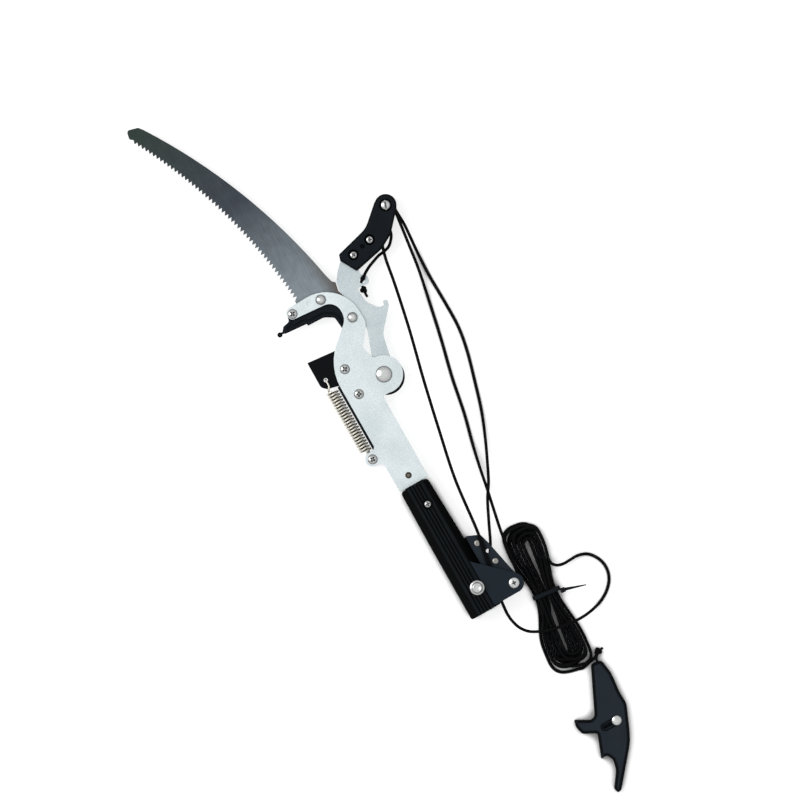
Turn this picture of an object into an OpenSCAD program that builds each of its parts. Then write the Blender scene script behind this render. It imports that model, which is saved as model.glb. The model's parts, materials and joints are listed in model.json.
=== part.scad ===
// Head of a rope-operated tree pruner: a pole socket, a hooked frame of two steel plates with a
// curved pruning saw, and a bypass cutter that a rope tackle pulls shut against a return spring.
// The tool lies flat. The origin is the middle of the pole socket's mouth, +Y runs up the tool
// to the saw's tip and +Z points up from the surface it lies on.

/* [Pole socket] */
// Diameter of the pole that goes into the socket
pole_d = 26; // [24:0.5:28]
// Depth of the bore that takes the pole
bore_len = 100; // [90:1:102]
// Width of the socket
socket_w = 34; // [33:0.5:37]
// Height of the socket, front flat to back flat
socket_h = 31; // [30.5:0.5:34]
// Length of the socket
socket_len = 145.5; // [140:0.5:146]
// Width of a groove along the socket
groove_w = 2.2; // [1.4:0.1:2.6]
// Depth of a groove along the socket
groove_depth = 1.3; // [0.6:0.1:1.5]

/* [Frame plates] */
// Thickness of each frame plate
plate_t = 2.5; // [2:0.1:3]
// Width of the plates' straight shank
shank_w = 32.6; // [31:0.1:34]
// Radius of the plates' round lobe at the pivot
lobe_r = 19.3; // [18:0.1:21]
// Width of the hook's band at its side
hook_band = 16.2; // [14:0.1:18]

/* [Saw] */
// Thickness of the saw blade
saw_t = 1.4; // [1:0.1:1.8]
// Number of saw teeth
saw_teeth = 52; // [30:1:60]
// Depth of the teeth at the base of the saw
tooth_base = 4.4; // [3:0.1:5]
// Depth of the teeth at the tip of the saw
tooth_tip = 3; // [2:0.1:3.5]

/* [Cutter] */
// Thickness of the cutter blade
blade_t = 2.2; // [1.8:0.1:3]
// Thickness of the lever
lever_t = 2.4; // [2:0.1:3]
// Diameter of the pivot bolt
pivot_d = 8; // [6:0.5:9]
// Diameter of the pivot bolt's head
pivot_head_d = 16.5; // [14:0.5:18]
// Outer diameter of the pivot bush
bush_d = 12; // [11:0.1:13]
// Width of the cutter blade's cutting bevel
bevel_w = 3.5; // [2:0.1:4.5]
// Diameter of the hole for the rope in the lever
rope_hole_d = 6; // [5.6:0.1:6.4]

/* [Pulley arm] */
// Thickness of each cheek of the pulley arm
cheek_t = 3; // [2.4:0.1:4]
// Radius of the arm's round end
arm_end_r = 11; // [10.5:0.1:12]
// Outer radius of the upper sheave
upper_sheave_r = 9; // [8.6:0.1:9.8]
// Distance between the upper sheave's two grooves
lane_pitch = 4.2; // [4:0.1:4.6]
// Diameter of the sheave axles
axle_d = 6; // [5:0.1:7]

/* [Rope bracket] */
// Thickness of the two wings moulded on the socket
wing_t = 3; // [2.5:0.1:3.5]
// Thickness of the guide plate
guide_t = 2.2; // [1.6:0.1:2.6]
// Radius of the bracket's round end
wing_end_r = 10; // [9.6:0.1:10.8]
// Outer radius of the lower sheave
lower_sheave_r = 9.3; // [8.8:0.1:9.5]
// Thickness of the lower sheave
lower_sheave_t = 6; // [5.6:0.1:6.2]

/* [Fasteners] */
// Diameter of the frame screws
screw_d = 5; // [4:0.5:6]
// Diameter of the frame screws' heads
screw_head_d = 10; // [9:0.1:11]
// Diameter of the saw bolts
saw_bolt_d = 6; // [5:0.5:7]
// Diameter of the saw bolts' domed heads
saw_head_d = 10.5; // [9.5:0.1:12]
// Diameter of the arm screws
arm_screw_d = 4; // [3:0.5:4.5]
// Diameter of the hexagonal clamp bolt
clamp_d = 8; // [6:0.5:8]
// Width across the flats of the clamp bolt's head
clamp_flats = 10; // [9:0.5:11]

/* [Return spring] */
// Outer diameter of the spring
spring_od = 13.2; // [12.4:0.1:13.6]
// Diameter of the spring's wire
wire_d = 2; // [1.4:0.1:2.1]
// Number of coils
spring_turns = 22; // [16:1:24]

/* [Rope] */
// Diameter of the rope
cord_d = 2.8; // [2.4:0.1:2.8]
// Distance between neighbouring turns of the hank
hank_step = 3.5; // [3.5:0.05:3.6]
// Distance between the hank's layers
hank_layer = 3.35; // [3.35:0.05:3.5]
// Half the hank's length
hank_half = 80; // [74:1:82]
// Half the hank's width at its waist
hank_waist = 12.8; // [12.8:0.1:13.2]
// Thickness of the tie's strap
tie_t = 1.4; // [1:0.1:1.6]
// Width of the tie's strap
tie_w = 4; // [3:0.5:6]

/* [Pull handle] */
// Thickness of the pull handle
handle_t = 12; // [10:0.5:14]
// Travel of the handle's pin in its slot
pin_travel = 13.5; // [8:0.5:14]
// Diameter of the handle's pin
pin_d = 4; // [3:0.1:5]
// Diameter of the pin's head
pin_head_d = 10.3; // [8:0.1:12]

/* [Fits] */
// Running gap between the cutter and its neighbours
run_gap = 0.2; // [0.1:0.05:0.4]
// Clearance of a screw or a bolt in its hole, on the radius
hole_gap = 0.1; // [0.05:0.05:0.2]
// Clearance of a turning piece on its shaft, on the radius
turn_gap = 0.05; // [0.03:0.01:0.08]
// Clearance of a piece that sits in a pocket
seat_gap = 0.1; // [0.05:0.05:0.2]

/* [Hidden] */
$fn = 64;

// Degrees of arc to one straight step of a rounded corner
arc_step = 9;
// Overshoot of a cutting solid past the face that it cuts
cut = 1;

// Colours
steel_pale = [0.84, 0.87, 0.88];
steel_dark = [0.36, 0.38, 0.40];
nickel = [0.78, 0.79, 0.80];
brass = [0.72, 0.58, 0.30];
black_nylon = [0.11, 0.12, 0.14];
black_blade = [0.13, 0.14, 0.15];
black_cord = [0.05, 0.05, 0.06];

// Layers of the frame from back to front, with the saw, the blade and the lever between the plates
core_t = saw_t + blade_t + lever_t + 2 * run_gap;
z_in = core_t / 2;
z_out = z_in + plate_t;
z_saw = -z_in;
z_blade = z_saw + saw_t + run_gap;
z_lever = z_blade + blade_t;
z_lever_top = z_lever + lever_t;
z_liner = z_lever + run_gap;
z_floor = -socket_h / 2;

// Places of the fasteners and axles across the tool
pivot = [28, 257];
tip_screw = [-21.7, 354.5];
stop_screw = [-3.5, 280.6];
core_screw = [-3.5, 252];
anchor_screw = [-23.8, 188.5];
saw_bolt_at = [[9.8, 353], [28.7, 322]];
clamp_at = [3.7, 25.5];
arm_screw_at = [[60.5, 375.7], [82, 381]];
upper_at = [113, 403.3];
lower_at = [38.2, 11.5];
guide_rivet_at = [[25.7, 64], [32.7, 39.5]];
rope_hole_at = [55.3, 349.5];
spring_hole_at = [-25.5, 280.5];

// Sizes of small parts that follow their screws
screw_head_h = 2.6;
saw_head_h = 3.2;
pivot_head_h = 3.4;
washer_t = 1.2;
nut_h = 4;
stop_boss_r = screw_d / 2 + 3.5;
stop_gap = 0.5;
cap_len = z_out + z_floor;
tang_w = 20;
tang_y = bore_len + 5;
core_edge = 2.6;
plate_y = socket_len + 1;
rivet_at = [-0.5, plate_y + 10.5];
socket_screw_at = [1.9, tang_y + 17.5];

// Layers of the pulley arm, whose sheave lies level with the lever
z_sheave = z_lever + lever_t / 2;
sheave_t = 2 * lane_pitch;
arm_gap = sheave_t + 3 * run_gap;
z_arm_in = z_sheave + arm_gap / 2;
z_arm_back = z_sheave - arm_gap / 2;
lane_r = 6.5;

// Layers of the rope bracket
z_wing_back = -5.2;
z_wing_back_top = z_wing_back + wing_t;
z_guide = z_wing_back_top + lower_sheave_t + 3 * run_gap;
z_guide_top = z_guide + guide_t;
z_lower = (z_wing_back_top + z_guide) / 2;
z_wing_front = 11.4;
z_wing_front_top = z_wing_front + wing_t;
lower_lane_r = 7.4;

// Unit vector
function unit(v) = v / norm(v);
// First two numbers of a point
function flat(p) = [p[0], p[1]];

// One corner of an outline at p, between a and b, as an arc of radius r
function round_corner(a, p, b, r) = r <= 0 ? [p] :
  let (u = unit(a - p), v = unit(b - p), half = acos(u * v) / 2)
  let (c = p + unit(u + v) * r / sin(half), s = p + u * r / tan(half), e = p + v * r / tan(half))
  let (from = atan2(s.y - c.y, s.x - c.x), to = atan2(e.y - c.y, e.x - c.x))
  let (turn = (to - from + 540) % 360 - 180, n = max(2, ceil(abs(turn) / arc_step)))
  [for (i = [0 : n]) c + r * [cos(from + turn * i / n), sin(from + turn * i / n)]];

// Outline through corners given as [x, y, radius]
function rounded(c) = let (n = len(c)) [for (i = [0 : n - 1])
  each round_corner(flat(c[(i + n - 1) % n]), flat(c[i]), flat(c[(i + 1) % n]), c[i][2])];

// Middle of the circle through three points
function circle_mid(a, b, c) =
  let (p = b - a, q = c - a, d = 2 * (p.x * q.y - p.y * q.x), pp = p * p, qq = q * q)
  a + [q.y * pp - p.y * qq, p.x * qq - q.x * pp] / d;

// Point at share s of the arc from a over b to c
function arc_point(a, b, c, s) =
  let (m = circle_mid(a, b, c), from = atan2(a.y - m.y, a.x - m.x), to = atan2(c.y - m.y, c.x - m.x))
  let (turn = (to - from + 540) % 360 - 180, ang = from + turn * s)
  m + norm(a - m) * [cos(ang), sin(ang)];

// Smooth step from 0 to 1
function ease(s) = let (k = min(1, max(0, s))) (1 - cos(180 * k)) / 2;

// Directions along a path
function tangents(p) = let (last = len(p) - 1)
  [for (i = [0 : last]) unit(p[min(i + 1, last)] - p[max(i - 1, 0)])];

// Part of v square to t, made a unit vector
function square_to(v, t) = unit(v - (v * t) * t);

// Sideways directions along a path, carried on without twist from the first
function carried(t, first) =
  [for (i = 0, n = square_to(first, t[0]); i < len(t);
        i = i + 1, n = i < len(t) ? square_to(n, t[i]) : n) n];

// Round tube of radius r along a path, with flat ends
module tube(path, r, sides, first = [0, 0, 1]) {
  t = tangents(path);
  n = carried(t, first);
  last = len(path) - 1;
  points = [for (i = [0 : last], j = [0 : sides - 1])
    let (a = 360 * j / sides) path[i] + r * (cos(a) * n[i] + sin(a) * cross(t[i], n[i]))];
  walls = [for (i = [0 : last - 1], j = [0 : sides - 1])
    let (k = (j + 1) % sides, a = i * sides, b = a + sides)
    each [[a + j, b + j, b + k], [a + j, b + k, a + k]]];
  caps = [for (j = [1 : sides - 2])
    each [[0, j, j + 1], [last * sides, last * sides + j + 1, last * sides + j]]];
  polyhedron(points, concat(walls, caps));
}

// Least gap of a tube of diameter d to itself, between points more than skip steps apart
function least_gap(p, d, skip) =
  min([for (i = [0 : len(p) - 1 - skip]) min([for (j = [i + skip : len(p) - 1]) norm(p[i] - p[j])])]) - d;

// Flat piece of thickness t whose back is at z
module slab(z, t) {
  translate([0, 0, z]) linear_extrude(t) children();
}

// Round hole or shaft from z, of diameter d and length h
module post(at, z, d, h) {
  translate([at.x, at.y, z]) cylinder(d = d, h = h);
}

// Cross-shaped driver recess, cut down from z = 0
module cross_recess(size) {
  for (a = [0, 90])
    rotate(a) translate([-size / 2, -size / 10, -size / 3]) cube([size, size / 5, size / 3 + cut]);
}

// Low domed head on z = 0
module domed_head(d, h) {
  rim = h * 0.4;
  dome_r = (pow(d / 2, 2) + pow(h - rim, 2)) / (2 * (h - rim));
  cylinder(d = d, h = rim);
  intersection() {
    cylinder(d = d, h = h);
    translate([0, 0, h - dome_r]) sphere(r = dome_r);
  }
}

// Pan head screw whose head seats at z, with a shaft of the given length
module pan_screw(at, z, d, head_d, head_h, len) {
  translate([at.x, at.y, z]) {
    difference() {
      domed_head(head_d, head_h);
      translate([0, 0, head_h]) cross_recess(head_d * 0.5);
    }
    translate([0, 0, -len]) cylinder(d = d, h = len + head_h * 0.3);
  }
}

// Hexagonal nut that hangs down from z
module hex_nut(at, z, d, flats, h) {
  translate([at.x, at.y, z - h]) difference() {
    cylinder(d = flats / cos(30), h = h, $fn = 6);
    translate([0, 0, -cut]) cylinder(d = d + 2 * turn_gap, h = h + 2 * cut);
  }
}

// Domed cap nut that hangs down from z and ends on the surface that the tool lies on
module cap_nut(at, z, d, flats) {
  h = z - z_floor;
  hex_h = h * 0.45;
  dome_d = flats * 0.92;
  translate([at.x, at.y, z]) rotate([180, 0, 0]) difference() {
    union() {
      cylinder(d = flats / cos(30), h = hex_h, $fn = 6);
      intersection() {
        cylinder(d = dome_d, h = h);
        translate([0, 0, h - dome_d * 0.55]) sphere(d = dome_d * 1.1);
      }
    }
    translate([0, 0, -cut]) cylinder(d = d + 2 * turn_gap, h = hex_h + cut);
  }
}

// Depth of the shaft in a cap nut
function cap_grip(z) = (z - z_floor) * 0.45 - seat_gap;

// Pole socket, a ribbed moulding with the two wings of the rope bracket
socket_flat = 18;
groove_at = [-5.3, -1.9, 1.5, 4.9];
taper_y = 76;
wing_corner = [10.2, 52];
module socket_outline() {
  polygon(rounded([[-socket_w / 2, 0, 2], [socket_w / 2, 0, 2], [socket_w / 2, taper_y, 40],
    [socket_w / 2 - 2.5, socket_len, 3.5], [1 - socket_w / 2, socket_len, 3.5],
    [-socket_w / 2, taper_y, 40]]));
}
module socket_section() {
  side = socket_h / 2 - 7.5;
  polygon(rounded([for (c = [[-1, -1], [1, -1], [1, 1], [-1, 1]])
    each (c.x * c.y > 0 ?
      [[c.x * socket_w / 2, c.y * side, 3], [c.x * socket_flat / 2, c.y * socket_h / 2, 3]] :
      [[c.x * socket_flat / 2, c.y * socket_h / 2, 3], [c.x * socket_w / 2, c.y * side, 3]])]));
}
module wing_end() {
  translate(lower_at) circle(r = wing_end_r);
}
module front_wing_outline() {
  wing_end();
  polygon([[0, wing_corner.y], wing_corner, lower_at + wing_end_r * [0.62, 0.78], lower_at,
    lower_at + wing_end_r * [0.1, -1], [0, lower_at.y - wing_end_r]]);
}
module long_wing_outline(left) {
  wing_end();
  foot = lower_at.y < 0 ? [0, 0, 0] : [lower_at.x, lower_at.y - wing_end_r, 0];
  polygon(rounded([[left, lower_at.y - wing_end_r, 0], foot, [lower_at.x, lower_at.y, 0],
    [lower_at.x + wing_end_r * 0.6, lower_at.y + wing_end_r * 0.8, 0],
    [41, 34, 12], [36, 58, 12], [32.6, 70, 3], [left, 76, 1]]));
}
screw_recess_d = 11;
screw_recess = 3;
nut_pocket_d = 11.5;
nut_pocket = 6;
insert_d = 12;
module pole_socket() {
  color(black_nylon) difference() {
    union() {
      intersection() {
        slab(-socket_h, 2 * socket_h) socket_outline();
        translate([0, socket_len, 0]) rotate([90, 0, 0]) linear_extrude(socket_len) socket_section();
      }
      slab(z_wing_front, wing_t) front_wing_outline();
      slab(z_wing_back, wing_t) long_wing_outline(14);
    }
    translate([0, -cut, 0]) rotate([-90, 0, 0]) cylinder(d = pole_d, h = bore_len + cut);
    translate([-tang_w / 2 - seat_gap, tang_y - seat_gap, -z_in - seat_gap])
      cube([tang_w + 2 * seat_gap, socket_len, core_t + 2 * seat_gap]);
    for (x = groove_at, z = [-1, 1])
      translate([x, -cut, z * socket_h / 2]) rotate([-90, 0, 0]) linear_extrude(socket_len + 2 * cut)
        polygon([[-groove_w / 2, -z * cut], [groove_w / 2, -z * cut],
          [groove_w / 8, z * groove_depth], [-groove_w / 8, z * groove_depth]]);
    post(socket_screw_at, -socket_h, screw_d + 2 * hole_gap, 2 * socket_h);
    post(socket_screw_at, socket_h / 2 - screw_recess, screw_recess_d, socket_h);
    post(socket_screw_at, -socket_h, nut_pocket_d, socket_h / 2 + nut_pocket);
    post(clamp_at, 0, insert_d, socket_h);
    for (z = [z_wing_back, z_wing_front])
      post(lower_at, z - cut, axle_d + 2 * hole_gap, wing_t + 2 * cut);
    for (p = guide_rivet_at)
      post(p, z_wing_back - cut, guide_rivet_d + 2 * hole_gap, wing_t + 2 * cut);
    post(anchor_hole_at, z_wing_back - cut, anchor_hole_d, wing_t + 2 * cut);
  }
}

// Hexagonal bolt in a brass insert, which presses on the pole
insert_z = sqrt(pow(pole_d / 2, 2) - pow(max(0, abs(clamp_at.x) - insert_d / 2), 2)) + seat_gap;
module clamp_insert() {
  color(brass) difference() {
    post(clamp_at, insert_z, insert_d - 2 * seat_gap, socket_h / 2 + 0.6 - insert_z);
    post(clamp_at, insert_z - cut, clamp_d + 2 * turn_gap, socket_h);
  }
}
clamp_head_h = 5;
module clamp_bolt() {
  color(nickel) translate([clamp_at.x, clamp_at.y, socket_h / 2 + 0.6]) {
    cylinder(d = clamp_flats + 4.5, h = washer_t);
    translate([0, 0, washer_t]) intersection() {
      cylinder(d = clamp_flats / cos(30), h = clamp_head_h, $fn = 6);
      cylinder(d1 = clamp_flats / cos(30) + clamp_head_h, d2 = clamp_flats - 0.6, h = clamp_head_h);
    }
    translate([0, 0, insert_z - socket_h / 2 - 0.6]) cylinder(d = clamp_d,
      h = socket_h / 2 + 1 - insert_z);
  }
}

// Screw that holds the core's tang in the socket, and its nut in a pocket
socket_head_d = 8;
socket_nut_h = 4;
module socket_screw() {
  z = socket_h / 2 - screw_recess;
  color(nickel)
    pan_screw(socket_screw_at, z, screw_d, socket_head_d, screw_head_h,
      z + socket_h / 2 - nut_pocket + socket_nut_h);
}
module socket_nut() {
  color(nickel) hex_nut(socket_screw_at, nut_pocket - socket_h / 2, screw_d, screw_d + 3, socket_nut_h);
}

// Guide plate of the rope bracket, riveted to the back wing with collars between
guide_rivet_d = 3;
guide_head_d = 6;
guide_head_h = 0.8;
guide_left = socket_w / 2 + 1.5;
anchor_hole_at = [31.2, 52];
anchor_hole_d = 4;
module guide_plate() {
  color(black_nylon) difference() {
    slab(z_guide, guide_t) long_wing_outline(guide_left);
    for (p = guide_rivet_at)
      post(p, z_guide - cut, guide_rivet_d + 2 * hole_gap, guide_t + 2 * cut);
    post(lower_at, z_guide - cut, axle_d + 2 * hole_gap, guide_t + 2 * cut);
    post(anchor_hole_at, z_guide - cut, anchor_hole_d, guide_t + 2 * cut);
  }
}
module guide_rivets() {
  color(nickel) for (p = guide_rivet_at) {
    post(p, z_guide_top, guide_head_d, guide_head_h);
    post(p, z_wing_back - guide_head_h, guide_rivet_d, z_guide_top - z_wing_back + 2 * guide_head_h);
    post(p, z_wing_back - guide_head_h, guide_head_d, guide_head_h);
  }
}
module guide_collars() {
  color(nickel) for (p = guide_rivet_at) difference() {
    post(p, z_wing_back_top, guide_rivet_d + 2, z_guide - z_wing_back_top);
    post(p, z_wing_back, guide_rivet_d + 2 * turn_gap, z_guide - z_wing_back + cut);
  }
}

// Axle of the lower sheave, a stepped rivet through both wings and the guide plate
axle_head_d = 11;
axle_head_h = 1.8;
module lower_axle() {
  color(nickel) translate([lower_at.x, lower_at.y, 0]) {
    translate([0, 0, z_wing_front_top]) domed_head(axle_head_d, axle_head_h);
    translate([0, 0, z_wing_back - axle_head_h]) {
      cylinder(d = axle_d, h = z_wing_front_top - z_wing_back + axle_head_h * 1.3);
      cylinder(d = axle_head_d, h = axle_head_h);
    }
  }
}

// Grooved wheel about the Z axis, with one groove at each height in lanes
groove_room = 0.4;
module sheave(r, t, rope_r, lanes) {
  floor_r = rope_r - cord_d / 2 - groove_room;
  half = cord_d / 2 + 0.05;
  rim = half + 0.4;
  rotate_extrude() difference() {
    translate([axle_d / 2 + turn_gap, -t / 2]) square([r - axle_d / 2 - turn_gap, t]);
    for (z = lanes)
      polygon([[floor_r, z - half], [r + cut, z - rim], [r + cut, z + rim], [floor_r, z + half]]);
  }
}
module lower_sheave() {
  color(black_nylon) translate([lower_at.x, lower_at.y, z_lower])
    sheave(lower_sheave_r, lower_sheave_t, lower_lane_r, [0]);
}
module upper_sheave() {
  color(black_nylon) translate([upper_at.x, upper_at.y, z_sheave])
    sheave(upper_sheave_r, sheave_t, lane_r, [-lane_pitch / 2, lane_pitch / 2]);
}

// Outline of both frame plates: shank, spring ear, pivot lobe and hook
ear_r = 7.5;
hook_side = 38.2;
module plate_outline() {
  half = shank_w / 2;
  inner = hook_side - hook_band;
  ear = anchor_screw;
  polygon(rounded([[-half, plate_y, 2], [-half, ear.y - ear_r, 5],
    [ear.x - ear_r, ear.y - ear_r, ear_r - 0.1],
    [ear.x - ear_r, ear.y + ear_r, ear_r - 0.1], [-half, ear.y + ear_r, 4], [-half, 290.6, 54],
    [inner, 324.4, 15], [inner, 345.4, 13], [tip_screw.x - 5.5, tip_screw.y - 5.1, 5.3],
    [tip_screw.x - 5.5, tip_screw.y + 6.5, 5.3], [hook_side, 363.4, 39], [hook_side, 310.5, 12],
    [pivot.x - 5.4, pivot.y + 34, 6], [pivot.x - 1.4, pivot.y + lobe_r - 0.3, 12],
    [pivot.x + 12, pivot.y + lobe_r - 5.8, 0],
    [pivot.x + 2, pivot.y - lobe_r + 0.6, 0],
    [half, pivot.y - lobe_r + 0.6, 1.5], [half, plate_y, 2]]));
}
module frame_holes(z, h, gap) {
  for (p = [tip_screw, stop_screw, core_screw, anchor_screw])
    post(p, z, screw_d + 2 * gap, h);
  for (p = saw_bolt_at)
    post(p, z, saw_bolt_d + 2 * gap, h);
  post(pivot, z, pivot_d + 2 * gap, h);
  post(rivet_at, z, rivet_d + 2 * gap, h);
}
dimple_at = [-3, 356.3];
module front_plate() {
  color(steel_pale) difference() {
    union() {
      slab(z_in, plate_t) plate_outline();
      post(pivot, z_in, 2 * lobe_r, plate_t);
    }
    frame_holes(z_in - cut, plate_t + 2 * cut, hole_gap);
    post(dimple_at, z_out - 0.8, 2.6, cut);
  }
}
module back_plate() {
  color(steel_pale) difference() {
    union() {
      slab(-z_out, plate_t) plate_outline();
      post(pivot, -z_out, 2 * lobe_r, plate_t);
    }
    frame_holes(-z_out - cut, plate_t + 2 * cut, hole_gap);
  }
}

// Black core between the plates, whose tang goes into the socket
sweep_r = 25.6;
core_lip_in = 0.8;
core_lip_y = 268.7;
module core_tang() {
  half = shank_w / 2;
  color(black_nylon) difference() {
    slab(-z_in, core_t) {
      polygon(rounded([[-tang_w / 2, tang_y, 2], [tang_w / 2, tang_y, 2], [tang_w / 2, plate_y, 0],
        [half - 0.5, plate_y, 1], [half - 0.5, core_screw.y, 0], [2, core_screw.y + 14, 0],
        [core_lip_in - half, core_screw.y + 14, 0], [core_lip_in - half, core_lip_y, 0.5],
        [-half - core_edge, core_lip_y, 1.5], [-half - core_edge, anchor_screw.y + ear_r, 1],
        [0.5 - half, anchor_screw.y + ear_r, 0], [0.5 - half, plate_y, 1], [-tang_w / 2, plate_y, 0]]));
      translate([stop_screw.x - stop_boss_r + 0.5, core_screw.y])
        square([2 * stop_boss_r - 1, stop_screw.y - core_screw.y]);
      translate(stop_screw) circle(r = stop_boss_r);
    }
    post(pivot, -z_in - cut, 2 * sweep_r, core_t + 2 * cut);
    frame_holes(-z_in - cut, core_t + 2 * cut, hole_gap);
    post(socket_screw_at, -z_in - cut, screw_d + 2 * hole_gap, core_t + 2 * cut);
  }
}

// Small rivet through the shank
rivet_d = 4;
rivet_head_d = 6.5;
rivet_head_h = 1;
module shank_rivet() {
  color(nickel) translate([rivet_at.x, rivet_at.y, 0]) {
    translate([0, 0, z_out]) domed_head(rivet_head_d, rivet_head_h);
    translate([0, 0, -z_out]) cylinder(d = rivet_d, h = 2 * z_out + rivet_head_h * 0.3);
    translate([0, 0, -z_out]) mirror([0, 0, 1]) domed_head(rivet_head_d, rivet_head_h);
  }
}

// Screws of the frame, with their nuts on the back plate
module frame_screws() {
  color(nickel) {
    for (p = [stop_screw, core_screw, anchor_screw])
      pan_screw(p, z_out, screw_d, screw_head_d, screw_head_h, 2 * z_out + nut_h + 0.6);
    pan_screw(tip_screw, z_out, screw_d, screw_head_d, screw_head_h, 2 * z_out + cap_grip(-z_out));
  }
}
module frame_nuts() {
  color(nickel) for (p = [stop_screw, core_screw, anchor_screw])
    hex_nut(p, -z_out, screw_d, screw_d + 3, nut_h);
}
module hook_cap_nut() {
  color(nickel) cap_nut(tip_screw, -z_out, screw_d, screw_d + 3);
}

// Curved pruning saw, whose tang lies in the hook
saw_back = [[26.4, 371], [-8.8, 490], [-60.5, 588.5]];
saw_edge = [[-13.3, 363], [-33.8, 479], [-76.8, 583]];
saw_back_steps = 16;
tooth_lean = 0.3;
module saw_outline() {
  mid = circle_mid(saw_edge[0], saw_edge[1], saw_edge[2]);
  teeth = [for (i = [0 : saw_teeth - 1])
    let (depth = tooth_base + (tooth_tip - tooth_base) * i / saw_teeth)
    let (tip = arc_point(saw_edge[0], saw_edge[1], saw_edge[2], (i + tooth_lean) / saw_teeth))
    let (root = arc_point(saw_edge[0], saw_edge[1], saw_edge[2], (i + 1) / saw_teeth))
    each [tip, root + depth * unit(root - mid)]];
  last = teeth[len(teeth) - 1];
  back = [for (i = [1 : saw_back_steps])
    arc_point(saw_back[2], saw_back[1], saw_back[0], i / saw_back_steps)];
  nose = rounded([[last.x, last.y, 0], [-77.6, 587, 2.5], [-75.6, 596.2, 3], [-64, 593, 4],
    [saw_back[2].x, saw_back[2].y, 0]]);
  tang = rounded([[28.6, 363.4, 0], [31.4, 361, 1], [29.6, 352, 4], [34.2, 338, 10], [34.2, 315, 3],
    [23.6, 315, 3], [24, 340, 8], [14, 350, 8], [-13.3, 351.5, 1], [-13.3, 363, 0]]);
  polygon(concat([for (i = [0 : len(teeth) - 2]) teeth[i]], nose, back, tang));
}
module saw_blade() {
  color(steel_dark) difference() {
    slab(z_saw, saw_t) saw_outline();
    for (p = saw_bolt_at)
      post(p, z_saw - cut, saw_bolt_d + 2 * hole_gap, saw_t + 2 * cut);
  }
}
module saw_bolts() {
  color(nickel) for (p = saw_bolt_at) translate([p.x, p.y, 0]) {
    len = 2 * z_out + cap_grip(-z_out);
    translate([0, 0, z_out]) domed_head(saw_head_d, saw_head_h);
    translate([0, 0, z_out - len]) cylinder(d = saw_bolt_d, h = len + saw_head_h * 0.3);
  }
}
module saw_cap_nuts() {
  color(nickel) for (p = saw_bolt_at)
    cap_nut(p, -z_out, saw_bolt_d, saw_bolt_d + 4);
}

// Black liner in the hook's front half, with a round nub past the hook's tip
nub_at = [-43, 342.5];
nub_r = 2.6;
module hook_liner() {
  color(black_nylon) difference() {
    slab(z_liner, z_in - z_liner) {
      polygon(rounded([[-38.6, 340.8, 1.5], [-14.3, 338.8, 0.4], [-13.8, 336.6, 0.5],
        [4, 336, 10], [13.2, 330.5, 4],
        [14.6, 315.5, 1], [34.4, 315.5, 2], [34.4, 334, 15], [27, 349.5, 20], [8, 358.5, 10],
        [tip_screw.x - 4.8, 358.5, 4], [tip_screw.x - 6.8, 349.5, 3], [-36, 348, 2.5],
        [-38.8, 344.5, 1.5]]));
      translate(nub_at) circle(r = nub_r);
      translate([nub_at.x, nub_at.y - 0.9]) square([6, 2.4]);
    }
    frame_holes(z_liner - cut, core_t, hole_gap);
  }
}

// Rings that keep the slot for the cutter blade open in the hook
ring_wall = 1.8;
module hook_spacers() {
  color(nickel) {
    for (p = saw_bolt_at) difference() {
      post(p, z_saw + saw_t, saw_bolt_d + 2 * ring_wall, z_liner - z_saw - saw_t);
      post(p, z_saw, saw_bolt_d + 2 * hole_gap, core_t);
    }
    difference() {
      post(tip_screw, -z_in, screw_d + 2 * ring_wall, z_liner + z_in);
      post(tip_screw, -z_in - cut, screw_d + 2 * hole_gap, core_t);
    }
  }
}

// Pivot bolt with its washer, cap nut, thrust shim and bush
module pivot_bolt() {
  len = 2 * z_out + washer_t + cap_grip(-z_out - washer_t);
  color(nickel) translate([pivot.x, pivot.y, z_out]) {
    domed_head(pivot_head_d, pivot_head_h);
    translate([0, 0, -len]) cylinder(d = pivot_d, h = len + pivot_head_h * 0.3);
  }
}
module pivot_washer() {
  color(nickel) difference() {
    post(pivot, -z_out - washer_t, pivot_d + 8, washer_t);
    post(pivot, -z_out - washer_t - cut, pivot_d + 2 * hole_gap, washer_t + 2 * cut);
  }
}
module pivot_cap_nut() {
  color(nickel) cap_nut(pivot, -z_out - washer_t, pivot_d, pivot_d + 5);
}
module pivot_shim() {
  color(brass) difference() {
    post(pivot, -z_in, bush_d + 4, z_blade - run_gap + z_in);
    post(pivot, -z_in - cut, pivot_d + 2 * hole_gap, core_t);
  }
}
module pivot_bush() {
  color(brass) difference() {
    post(pivot, z_blade, bush_d, blade_t + lever_t);
    post(pivot, z_blade - cut, pivot_d + 2 * turn_gap, blade_t + lever_t + 2 * cut);
  }
}

// Rivets that join the blade to the lever, flush with both
lever_rivet_d = 4;
lever_rivet_at = [for (a = [200, 320]) pivot + 11 * [cos(a), sin(a)]];
module lever_rivets() {
  color(nickel) for (p = lever_rivet_at)
    post(p, z_blade, lever_rivet_d, blade_t + lever_t);
}
module hub_holes(z, t) {
  post(pivot, z - cut, bush_d + 2 * turn_gap, t + 2 * cut);
  for (p = lever_rivet_at)
    post(p, z - cut, lever_rivet_d + 2 * turn_gap, t + 2 * cut);
}

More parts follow.
